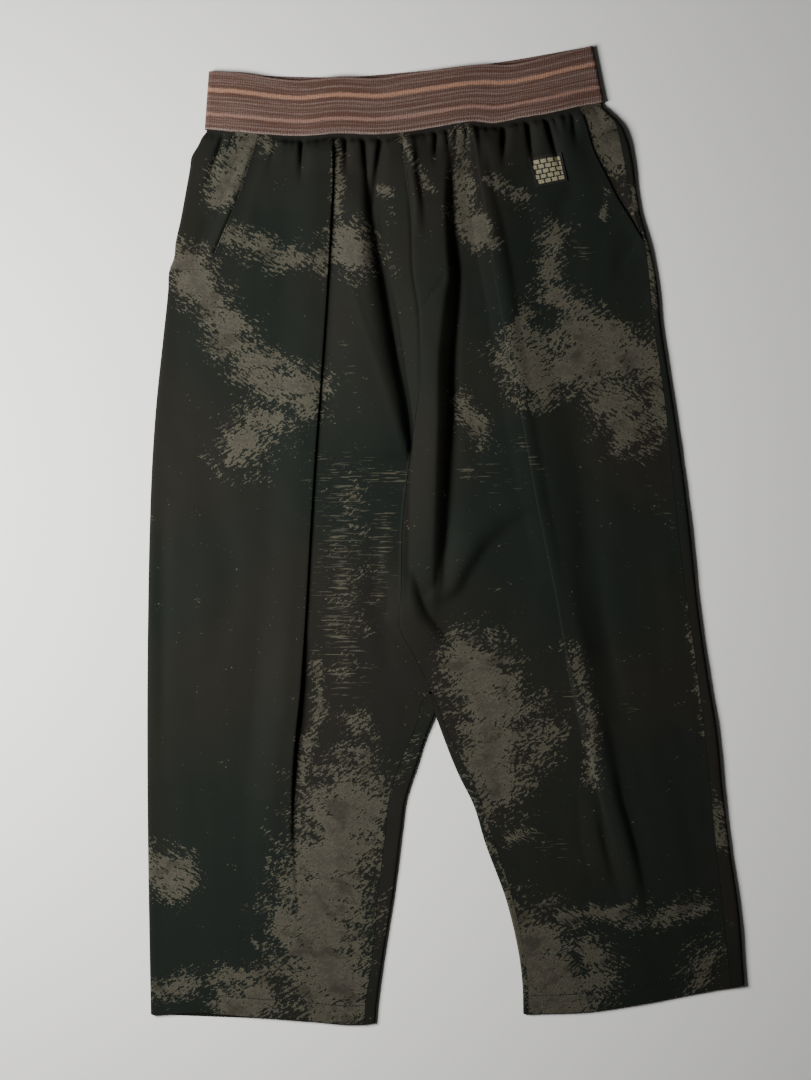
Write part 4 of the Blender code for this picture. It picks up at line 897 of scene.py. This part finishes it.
printScratches = [      # groups of thin level scratches: points, half width, strength
    ([(-100, 60), (-102, -20), (-100, -130)], 56, 1.12), ([(-74, 62), (-44, 54)], 24, 1.15),
    ([(-60, 20), (-66, -60)], 30, 1.1), ([(20, 60), (60, 52)], 28, 0.95), ([(70, 92), (92, 60)], 18, 1.1),
    ([(112, 296), (134, 268)], 20, 1.0), ([(84, -286), (114, -302)], 18, 1.0),
    ([(-100, 190), (-86, 120)], 20, 0.7), ([(110, -150), (180, -164)], 16, 0.8),
    ([(190, 60), (214, 10)], 18, 0.7), ([(-200, -236), (-180, -262)], 16, 0.7),
]


def printAt(x, y, patches=printPatches):     # how much print there is, its lean, and how many scratches
    cover = np.zeros_like(x)
    lean = np.full(x.shape, 0.5)
    scratches = np.zeros_like(x)
    for points, width, solid, turn in patches:
        here = solid - 0.42 * distanceTo(points, x, y) / width
        lean = np.where(here > cover, turn, lean)
        cover = np.maximum(cover, here)
    for points, width, strength in printScratches:
        scratches = np.maximum(scratches, strength * (1 - distanceTo(points, x, y) / width))
    return np.column_stack([cover, lean, scratches]).astype(np.float32)


twill = {                   # a noise is what mottled() takes: size, turn, detail, roughness
    "green": "#181c18", "brown": "#1e1d19",     # the ground's two slow tones
    "groundNoise": ((260, 260),), "groundEdge": (0.42, 0.58),
    "sage": "#4b493d", "taupe": "#3c3932", "inkEdge": 0.06, "solidFrom": 0.5,     # flecks, and solid print
    "tarnish": "#27251f", "tarnishNoise": ((30, 22), 20, 4.0, 0.6), "tarnishEdge": (0.53, 0.62),
    "tarnished": 0.5,
    "tornNoise": ((26, 17), 20, 4.0, 0.55), "torn": 1.5,    # how the patches' outlines are torn, and how much
    "dashSize": (6.2, 2.5), "dashTurn": 33, "dashDetail": (4.0, 0.65), "broken": 2.6,
    "fleckNoise": ((2.2, 1.6), 33, 1.0), "fleck": 0.9,
    "scratchNoise": ((26, 1.7), 0, 3.0, 0.65), "scratchLift": 0.2, "scratchEdge": (0.555, 0.585),
    "scratched": 0.75,
    "linePitch": 2.4, "lineTurn": 62,       # real twill lines are 0.5 mm apart, drawn coarser to show
    "lineStray": 0.4, "lineHeight": 0.5, "slubNoise": ((1.6, 14),),
    "roughness": 0.75, "specular": 0.05, "bump": 0.10, "bumpDepth": 0.6,
}


def twillMaterial(name, offset):
    # polyester satin twill, printed: near-black green with a soft sheen and a worn, broken taupe print
    material, shader = newMaterial(name, twill["roughness"], twill["specular"])
    tree = material.node_tree
    uv = addNode(tree, "TexCoord", {}).outputs["UV"]
    place = addNode(tree, "Mapping", {"Vector": uv, "Location": (offset[0] * mm, offset[1] * mm, 0)})
    printed = addNode(tree, "Attribute", {}, attribute_name="print").outputs["Vector"]
    cover, lean, scratches = addNode(tree, "SeparateXYZ", {0: printed}).outputs
    falling, rising = (mottled(tree, place, twill["dashSize"], side * twill["dashTurn"], *twill["dashDetail"])
                       for side in (1, -1))
    dashes = addNode(tree, "Mix", {0: lean, 2: falling, 3: rising})
    flecks = mottled(tree, place, *twill["fleckNoise"])
    torn = mottled(tree, place, *twill["tornNoise"])
    field, level = cover, 0.5       # there is print where the field is over this level
    for pattern, strength in ((dashes, twill["broken"]), (flecks, twill["fleck"]), (torn, twill["torn"])):
        field = addNode(tree, "Math", {0: pattern, 1: strength, 2: field}, operation="MULTIPLY_ADD")
        level = level + 0.5 * strength      # each pattern is 0.5 on the whole
    ink = addNode(tree, "MapRange", {0: field, 1: level, 2: level + twill["inkEdge"]})
    lift = addNode(tree, "Math", {0: scratches, 1: twill["scratchLift"], 2: -twill["scratchLift"]},
                   operation="MULTIPLY_ADD")
    thin = addNode(tree, "Math", {0: mottled(tree, place, *twill["scratchNoise"]), 1: lift})
    low, high = twill["scratchEdge"]
    thin = addNode(tree, "MapRange", {0: thin, 1: low, 2: high, 4: twill["scratched"]})
    ink = addNode(tree, "Math", {0: ink, 1: thin}, operation="MAXIMUM")
    low, high = twill["groundEdge"]
    tone = addNode(tree, "MapRange", {0: mottled(tree, place, *twill["groundNoise"]), 1: low, 2: high})
    solid = addNode(tree, "MapRange", {0: field, 1: level, 2: level + twill["solidFrom"]})
    stains = mottled(tree, place, *twill["tarnishNoise"])
    low, high = twill["tarnishEdge"]
    stains = addNode(tree, "MapRange", {0: stains, 1: low, 2: high, 4: twill["tarnished"]})
    green, brown, colour = hexColour(twill["green"]), hexColour(twill["brown"]), hexColour(twill["sage"])
    ground = addNode(tree, "Mix", {0: tone, 6: green, 7: brown}, data_type="RGBA").outputs[2]
    for share, code in ((solid, twill["taupe"]), (stains, twill["tarnish"])):
        colour = addNode(tree, "Mix", {0: share, 6: colour, 7: hexColour(code)}, data_type="RGBA").outputs[2]
    colour = addNode(tree, "Mix", {0: ink, 6: ground, 7: colour}, data_type="RGBA")
    tree.links.new(colour.outputs[2], shader.inputs["Base Color"])
    lineTurn = (0, 0, math.radians(twill["lineTurn"]))
    diagonal = addNode(tree, "Mapping", {"Vector": place, "Rotation": lineTurn})
    diagonal = addNode(tree, "Mapping", {"Vector": diagonal, "Scale": (1 / (twill["linePitch"] * mm),) * 3})
    lines = addNode(tree, "TexWave", {"Vector": diagonal, "Scale": oneWave, "Distortion": twill["lineStray"],
                                      "Detail": 1.0})
    slubs = mottled(tree, place, *twill["slubNoise"])
    height = addNode(tree, "Math", {0: lines.outputs[1], 1: twill["lineHeight"], 2: slubs},
                     operation="MULTIPLY_ADD")
    bump = addNode(tree, "Bump", {"Strength": twill["bump"], "Distance": twill["bumpDepth"] * mm,
                                  "Height": height})
    tree.links.new(bump.outputs[0], shader.inputs["Normal"])
    return material


def elasticMaterial():
    # woven polyester elastic: ribs along its height, heathered warp stripes from edge to edge, and painted
    # shade in the grooves between its ribs
    material, shader = newMaterial("woven striped elastic", elastic["roughness"], elastic["specular"])
    tree = material.node_tree
    uv = addNode(tree, "TexCoord", {}).outputs["UV"]
    up = addNode(tree, "SeparateXYZ", {0: uv}).outputs[1]
    start = 0
    for noise, by in elastic["strays"]:
        stray = mottled(tree, uv, *noise)
        up = addNode(tree, "Math", {0: stray, 1: by * mm, 2: up}, operation="MULTIPLY_ADD")
        start = start + by / 2
    fraction = addNode(tree, "MapRange", {0: up, 1: start * mm, 2: (start + elastic["height"]) * mm})
    ramp = addNode(tree, "ValToRGB", {0: fraction})
    for k, (at, yarn) in enumerate(stripeStops()):
        stop = ramp.color_ramp.elements[k] if k < 2 else ramp.color_ramp.elements.new(at)
        stop.position = at
        stop.color = yarn
    low, high, most = elastic["paleWarp"]
    warp = addNode(tree, "MapRange", {0: mottled(tree, uv, *elastic["warpNoise"]), 1: low, 2: high, 4: most})
    ramp = addNode(tree, "Mix", {0: warp, 6: ramp, 7: hexColour(elastic["yarns"]["edge"])},
                   data_type="RGBA").outputs[2]
    ribScale = (1 / (elastic["ribPitch"] * mm), elastic["ribsUp"], 1)
    across = addNode(tree, "Mapping", {"Vector": uv, "Scale": ribScale})
    ribs = addNode(tree, "TexWave", {"Vector": across, "Scale": oneWave, "Distortion": elastic["ribStray"],
                                     "Detail": 1.0})
    fleck = mottled(tree, uv, *elastic["fleckNoise"])
    # painted shade: the stripes are multiplied darker where the ribs and flecks sink, the same relief that
    # the bump gives; the flecks also vary the yarn's tone at random
    shade = addNode(tree, "Math", {0: ribs.outputs[1], 1: elastic["ribShade"], 2: fleck},
                    operation="MULTIPLY_ADD")
    low, high = elastic["shadeEdge"]
    shade = addNode(tree, "MapRange", {0: shade, 1: low, 2: high})
    thread = addNode(tree, "Mix", {0: shade, 6: hexColour(elastic["shade"]), 7: hexColour("#ffffff")},
                     data_type="RGBA").outputs[2]
    colour = addNode(tree, "Mix", {0: elastic["shaded"], 6: ramp, 7: thread}, data_type="RGBA",
                     blend_type="MULTIPLY")
    tree.links.new(colour.outputs[2], shader.inputs["Base Color"])
    raised = addNode(tree, "Math", {0: fleck, 1: elastic["fleckHeight"], 2: ribs.outputs[1]},
                     operation="MULTIPLY_ADD")
    bump = addNode(tree, "Bump", {"Strength": elastic["bump"], "Distance": elastic["bumpDepth"] * mm,
                                  "Height": raised})
    tree.links.new(bump.outputs[0], shader.inputs["Normal"])
    return material


def threadMaterial(name, code):
    # spun polyester thread: dull, with a twist too fine to show
    material, shader = newMaterial(name, 0.7, 0.3)
    shader.inputs["Base Color"].default_value = hexColour(code)
    return material


# The cloth. Each sheet's flat size is its width and length in metres, its area what the piece itself
# covers, its origin the place across it from where its pattern is measured, and its offset where the
# pattern starts, in mm.

panels = {
    "front_panel_right": {"flat": (0.310, 0.875), "area": 0.221, "origin": 4.5, "offset": (0, 0)},
    "front_panel_left": {"flat": (0.319, 0.875), "area": 0.213, "origin": 4.5, "offset": (1210, 340)},
    "back_panel_right": {"flat": (0.290, 0.875), "area": 0.209, "origin": 2.0, "offset": (420, 1930)},
    "back_panel_left": {"flat": (0.304, 0.875), "area": 0.222, "origin": 2.0, "offset": (2230, 1130)},
}
facings = {
    "pocket_facing_right": {"flat": (0.081, 0.150), "area": 0.0103, "origin": 3.0, "offset": (640, 90)},
    "pocket_facing_left": {"flat": (0.037, 0.125), "area": 0.0038, "origin": 3.0, "offset": (980, 700)},
}
facingTop = [396, 388, 385, 382, 379, 377] + list(np.arange(375.9, 300, -2.4))      # levels of the rows
facingLevels = {
    "pocket_facing_right": facingTop + list(np.arange(299, 257, -3)) + [255.6, 252, 249, 246],
    "pocket_facing_left": facingTop + [299, 296, 292, 289, 286, 283, 280, 277, 274, 271],
}


def printBehind(x, y):      # the back has the front's patches, the other way round and lower
    return printAt(-30 - x, y - 40)


def printFacing(x, y):
    return printAt(x, y, facingPatches)


def addCloth(name, words, rows, flip, printed):
    vertices, triangles = strips(rows)
    material = twillMaterial("printed twill " + name.replace("_", " "), words["offset"])
    piece = makePiece(name + "_cloth", vertices, triangles, cutPlaces(rows, words["origin"]), material,
                      cut["wall"], flip, printed(vertices[:, 0], vertices[:, 1]))
    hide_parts(name)
    print(name, len(triangles), "triangles before the wall")


for name, words in panels.items():
    front, right = name.startswith("front"), name.endswith("right")
    flip = front != right
    panelRows = [frontRow(level, right) if front else backRow(level, right) for level in panelLevels()]
    addCloth(name, words, turnHem(panelRows, flip), flip, printAt if front else printBehind)
for name, words in facings.items():
    right = name.endswith("right")
    facingRows = [facingRight(level) if right else facingLeft(level) for level in facingLevels[name]]
    addCloth(name, words, facingRows, not right, printFacing)


# The elastic: a ring with its front layer over its back layer

elastic.update({
    "height": 54.0, "softEdge": 0.8,
    "yarns": {"brown": "#553e35", "grey": "#6f5a53", "edge": "#8b7d76", "rose": "#86665a",
              "peach": "#98715c"},
    "shade": "#54463f",     # painted shade, in the grooves between the ribs and at low flecks
    "strays": [             # of the warp: a noise, and how far
        (((13, 0.8), 0, 3.0, 0.7), 4.2), (((60, 40), 0, 2.0, 0.5), 1.2)],
    "warpNoise": ((80, 1.1),), "paleWarp": (0.5, 0.62, 0.3),    # fine pale lines: where in it, and how pale
    "ribsUp": 20, "ribStray": 0.3, "ribShade": 0.07,        # how often in a metre the ribs stray, how far
    "fleckNoise": ((1.4, 1.1), 0, 1.0), "shadeEdge": (0.34, 0.76), "shaded": 0.5, "fleckHeight": 0.6,
    "roughness": 0.85, "specular": 0.15, "bump": 0.35, "bumpDepth": 0.5,
    "stripes": [            # on brown, up from the lower edge: middle, width, yarn
        (0.8, 1.8, "edge"), (5.5, 1.4, "grey"), (14.5, 3.6, "rose"), (21.5, 1.4, "grey"), (27, 1.2, "grey"),
        (30.5, 1.4, "grey"), (37, 4.2, "peach"), (45, 1.4, "grey"), (52.6, 2.0, "grey")],
})


def stripeStops():          # the stripes as a colour ramp's stops, each fading into the brown
    stops = []
    for middle, width, yarn in elastic["stripes"]:
        half, soft = width / 2, elastic["softEdge"]
        inner = [middle] if half < 1.5 * soft else [middle - half + soft, middle + half - soft]
        stops.append((max(middle - half - soft / 2, 0), "brown"))
        stops += [(at, yarn) for at in inner]
        stops.append((min(middle + half + soft / 2, elastic["height"]), "brown"))
    return [(at / elastic["height"], hexColour(elastic["yarns"][yarn])) for at, yarn in stops]


def bandLoop(fraction, front=190, back=60, turn=10):
    half = elastic["wall"] / 2
    sides = [bandLowerRows[k][0] + (bandUpperRows[k][0] - bandLowerRows[k][0]) * fraction for k in (0, -1)]
    radius = [(float(bandHeight(x)) - half) / 2 for x in sides]
    starts = [sides[0] + half + radius[0], sides[1] - half - radius[1]]

    def edgeY(x, top):
        return bandLower(x) * (1 - fraction) + top(x) * fraction

    x = np.linspace(starts[0], starts[1], front + 1)
    over = np.column_stack([x, edgeY(x, bandUpper), bandHeight(x)])
    a = math.pi * np.arange(1, turn) / turn
    x = starts[1] + radius[1] * np.sin(a)
    leftTurn = np.column_stack([x, edgeY(x, bandUpper), half + radius[1] * (1 + np.cos(a))])
    x = np.linspace(starts[1], starts[0], back + 1)
    under = np.column_stack([x, edgeY(x, bandUpperBack), half + 0 * x])
    x = starts[0] - radius[0] * np.sin(a)
    rightTurn = np.column_stack([x, edgeY(x, bandUpper), half + radius[0] * (1 - np.cos(a))])
    return np.vstack([over, leftTurn, under, rightTurn])


def addElastic():
    fractions = np.linspace(0, 1, 17)
    loops = [bandLoop(f) for f in fractions]
    count = len(loops[0])
    faces = []
    for r in range(len(loops) - 1):
        for k in range(count):
            a, b = r * count + k, r * count + (k + 1) % count
            faces.append((a, b, b + count, a + count))
    places = []
    for fraction, loop in zip(fractions, loops):
        places.append(np.column_stack([lengthTo(loop), np.full(count, fraction * elastic["height"])]))
    piece = makePiece("waistband_elastic", np.vstack(loops), np.array(faces), np.vstack(places) * mm,
                      elasticMaterial(), elastic["wall"])
    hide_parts("waistband")
    return piece


addElastic()
print("elastic made")


# Hip patch: a small woven label with a plain check of cream dashes

patch = {
    "corners": [(78, 361.5), (109.5, 367), (115.5, 340), (85.5, 333.5)], "size": (32, 28),
    "wall": 0.8, "lift": 0.5,       # over the cloth's middle, past a wall
    "ground": "#1d1c18", "thread": "#837d66",
    "margin": 2.4, "rows": 5, "columns": 4, "gap": 0.2,       # mm, and the dark share between the dashes
    "wornNoise": ((1.2, 0.9), 0, 2.0, 0.6), "wornEdge": (0.34, 0.44),
    "roughness": 0.8, "specular": 0.2, "bump": 0.5, "bumpDepth": 0.3,
}


def patchMaterial():
    # damask label: matt black ground, cream dashes woven in, worn at the weave's small steps
    material, shader = newMaterial("woven label", patch["roughness"], patch["specular"])
    tree = material.node_tree
    uv = addNode(tree, "TexCoord", {}).outputs["UV"]
    along = addNode(tree, "SeparateXYZ", {0: uv}).outputs
    low, high = patch["wornEdge"]
    cream = addNode(tree, "MapRange", {0: mottled(tree, uv, *patch["wornNoise"]), 1: low, 2: high})
    steps = []
    for axis, count in enumerate((patch["columns"], patch["rows"])):
        start, end = patch["margin"] * mm, (patch["size"][axis] - patch["margin"]) * mm
        steps.append(addNode(tree, "MapRange", {0: along[axis], 1: start, 2: end, 4: float(count)},
                             clamp=False))
        for edge, side in ((start, "GREATER_THAN"), (end, "LESS_THAN")):
            inside = addNode(tree, "Math", {0: along[axis], 1: edge}, operation=side)
            cream = addNode(tree, "Math", {0: cream, 1: inside}, operation="MULTIPLY")
    row = addNode(tree, "Math", {0: steps[1]}, operation="FLOOR")       # each row is moved on by half a dash
    steps[0] = addNode(tree, "Math", {0: row, 1: 0.5, 2: steps[0]}, operation="MULTIPLY_ADD")
    for step in steps:
        part = addNode(tree, "Math", {0: step}, operation="FRACT")
        dash = addNode(tree, "Math", {0: part, 1: patch["gap"]}, operation="GREATER_THAN")
        cream = addNode(tree, "Math", {0: cream, 1: dash}, operation="MULTIPLY")
    ground, thread = hexColour(patch["ground"]), hexColour(patch["thread"])
    colour = addNode(tree, "Mix", {0: cream, 6: ground, 7: thread}, data_type="RGBA")
    tree.links.new(colour.outputs[2], shader.inputs["Base Color"])
    bump = addNode(tree, "Bump", {"Strength": patch["bump"], "Distance": patch["bumpDepth"] * mm,
                                  "Height": cream})
    tree.links.new(bump.outputs[0], shader.inputs["Normal"])
    return material


def addPatch(across=30, down=26):
    corners = np.array(patch["corners"], float)
    grid = []
    places = []
    for j in range(down + 1):
        left = corners[0] + (corners[3] - corners[0]) * j / down
        right = corners[1] + (corners[2] - corners[1]) * j / down
        t = np.arange(across + 1)[:, None] / across
        points = left + (right - left) * t
        x, y = points[:, 0], points[:, 1]
        z = frontZ(x, y) + flapRaise(pleatLeft, x, y) + cut["wall"] + patch["lift"]
        grid.append(np.column_stack([x, y, z]))
        upTo = np.full(across + 1, patch["size"][1] * j / down)
        places.append(np.column_stack([t[:, 0] * patch["size"][0], upTo]))
    faces = []
    for j in range(down):
        for i in range(across):
            a = j * (across + 1) + i
            faces.append((a, a + across + 1, a + across + 2, a + 1))
    piece = makePiece("hip_patch_label", np.vstack(grid), np.array(faces), np.vstack(places) * mm,
                      patchMaterial(), patch["wall"])
    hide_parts("hip_patch")
    return piece


addPatch()
print("patch made")


# Sewing. One stitch is modelled, and each row is its copies, joined.

sewing = {
    "pitch": 3.2, "length": 2.7, "radius": 0.36, "sides": 6, "rise": 0.3, "sunk": 0.1,
    "rings": [(0, 0.35), (0.15, 0.85), (0.5, 1.0), (0.85, 0.85), (1, 0.35)],       # along it, thickness
    "hem": 17.5, "mouth": 1.6, "elastic": 2.4, "patch": 1.3,                        # in from the edges
    "short": 3.0,           # of a seam or the end of an edge
    # the cloth's thread is near-black, darker than the cloth, so that along the pocket mouths it also draws
    # their painted shade line
    "clothThreadAndMouthShade": "#070807", "elasticThread": "#6a574f", "patchThread": "#0d0d0c",
}


def oneStitch():            # along X, sunk at both ends
    sides = sewing["sides"]
    turn = 2 * math.pi * np.arange(sides) / sides
    rings = []
    for t, thick in sewing["rings"]:
        radius = sewing["radius"] * thick
        rise = sewing["rise"] * math.sin(math.pi * t) - sewing["sunk"]
        rings.append(np.column_stack([np.full(sides, (t - 0.5) * sewing["length"]), radius * np.cos(turn),
                                      rise + radius * np.sin(turn)]))
    last = (len(rings) - 1) * sides
    faces = [tuple(range(sides))[::-1], tuple(range(last, last + sides))]
    for first in range(0, last, sides):
        for k in range(sides):
            after = (k + 1) % sides
            faces.append((first + k, first + after, first + sides + after, first + sides + k))
    return np.vstack(rings), faces


def alongPath(path, height):        # where each stitch of a row starts and ends
    path = np.array(path, float)
    along = lengthTo(path)
    count = int(along[-1] / sewing["pitch"])
    at = (np.arange(count) + 0.5) * along[-1] / count
    ends = []
    for s in (at - sewing["length"] / 2, at + sewing["length"] / 2):
        x, y = np.interp(s, along, path[:, 0]), np.interp(s, along, path[:, 1])
        ends.append(np.column_stack([x, y, height(x, y)]))
    return ends


def addStitches(name, code, rows):
    shape, sides = oneStitch()
    vertices, faces = [], []
    for path, height in rows:
        for start, end in zip(*alongPath(path, height)):
            ahead = (end - start) / np.linalg.norm(end - start)
            across = np.cross((0, 0, 1), ahead)
            across = across / np.linalg.norm(across)
            first = len(vertices) * len(shape)
            vertices.append(shape @ np.array([ahead, across, np.cross(ahead, across)]) + (start + end) / 2)
            faces += [tuple(first + k for k in side) for side in sides]
    thread = threadMaterial(name.replace("_", " ") + " thread", code)
    thing = addObject(name, np.vstack(vertices), faces, thread)
    bpy.ops.object.shade_smooth_by_angle(angle=math.radians(60))
    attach(thing, "root")


def onFront(x, y):          # top of the front cloth, beside its pleats
    onLeg = np.where(x < centreSeam(y), flapRaise(pleatRight, x, y) * (x < pleatRight["at"](y)),
                     flapRaise(pleatLeft, x, y) * (x > pleatLeft["at"](y)))
    return frontZ(x, y) + onLeg + cut["wall"] / 2


def onPatch(x, y):
    return onFront(x, y) + cut["wall"] / 2 + patch["lift"] + patch["wall"] / 2


def onElastic(x, y):
    return bandHeight(x) + elastic["wall"] / 2


def hemPath(start, end):
    x = np.linspace(start, end, 80)
    return np.column_stack([x, rowY(cut["hem"] + sewing["hem"], x)])


def mouthPath(line, high, low, inset):
    y = np.linspace(high, low, 40)
    return np.column_stack([line(y) + inset, y])


def patchPath():
    corners = np.array(patch["corners"], float)
    middle = corners.mean(axis=0)
    inner = corners + (middle - corners) * sewing["patch"] / (patch["size"][1] / 2)
    return np.vstack([inner, inner[:1]])


hemLow, short = cut["hem"] + sewing["hem"], sewing["short"]
seamAtHem = float(sideSeamLeft(hemEdgeRows[-1][1] + 5))
addStitches("hem_stitches", sewing["clothThreadAndMouthShade"], [
    (hemPath(float(outerRight(hemLow)) + short, float(inseamRight(hemLow)) - 2), onFront),
    (hemPath(float(inseamLeft(hemLow)) + 2, seamAtHem - short), onFront)])
# along each pocket mouth the near-black thread also stands in for painted shade
addStitches("pocket_stitches", sewing["clothThreadAndMouthShade"], [
    (mouthPath(mouthRight, 378, cut["mouthEndRight"] + short, sewing["mouth"]), onFront),
    (mouthPath(mouthLeft, 404, cut["mouthEndLeft"] + short + 1, -sewing["mouth"]), onFront)])
acrossElastic = np.linspace(-226, 147, 150)
addStitches("elastic_stitches", sewing["elasticThread"], [
    (np.column_stack([acrossElastic, bandLower(acrossElastic) + sewing["elastic"]]), onElastic)])
addStitches("patch_stitches", sewing["patchThread"], [(patchPath(), onPatch)])
print("sewing made")


# Floor, light and camera

stage = {
    "floor": "#e4e3df", "floorSize": 12.0,
    "key": {"place": (-0.8, 0.05, 0.75), "size": 0.5, "power": 28.5},
    "fill": {"place": (-0.6, -0.3, 2.6), "size": 1.6, "power": 2.6},
    "sky": {"colour": "#f4f5f8", "strength": 0.015},
    "camera": (-0.0389, -0.0048, 2.0), "frameHeight": 1.0368,
}


def addLight(name, words):      # a square light that looks at the middle of the floor
    bpy.ops.object.select_all(action="DESELECT")
    bpy.ops.object.light_add(type="AREA", location=words["place"])
    light = bpy.context.object
    light.name = name
    light.data.energy = words["power"]
    light.data.size = words["size"]
    light.rotation_euler = (-Vector(words["place"])).to_track_quat("-Z", "Y").to_euler()


def addStage():
    bpy.ops.object.select_all(action="DESELECT")
    bpy.ops.mesh.primitive_plane_add(size=stage["floorSize"], location=(0, 0, 0))
    floor = bpy.context.object
    floor.name = "floor"
    material, shader = newMaterial("painted board", 0.9, 0.2)
    shader.inputs["Base Color"].default_value = hexColour(stage["floor"])
    floor.data.materials.append(material)
    for name in ("key", "fill"):
        addLight(name, stage[name])
    world = bpy.data.worlds.new("studio")
    world.use_nodes = True
    background = world.node_tree.nodes["Background"]
    background.inputs["Color"].default_value = hexColour(stage["sky"]["colour"])
    background.inputs["Strength"].default_value = stage["sky"]["strength"]
    bpy.context.scene.world = world
    camera = bpy.data.cameras.new("camera")
    camera.sensor_fit = "VERTICAL"
    camera.sensor_height = 36.0
    camera.lens = camera.sensor_height * stage["camera"][2] / stage["frameHeight"]
    view = bpy.data.objects.new("camera", camera)
    view.location = stage["camera"]
    bpy.context.scene.collection.objects.link(view)
    bpy.context.scene.camera = view


addStage()
print("stage set")
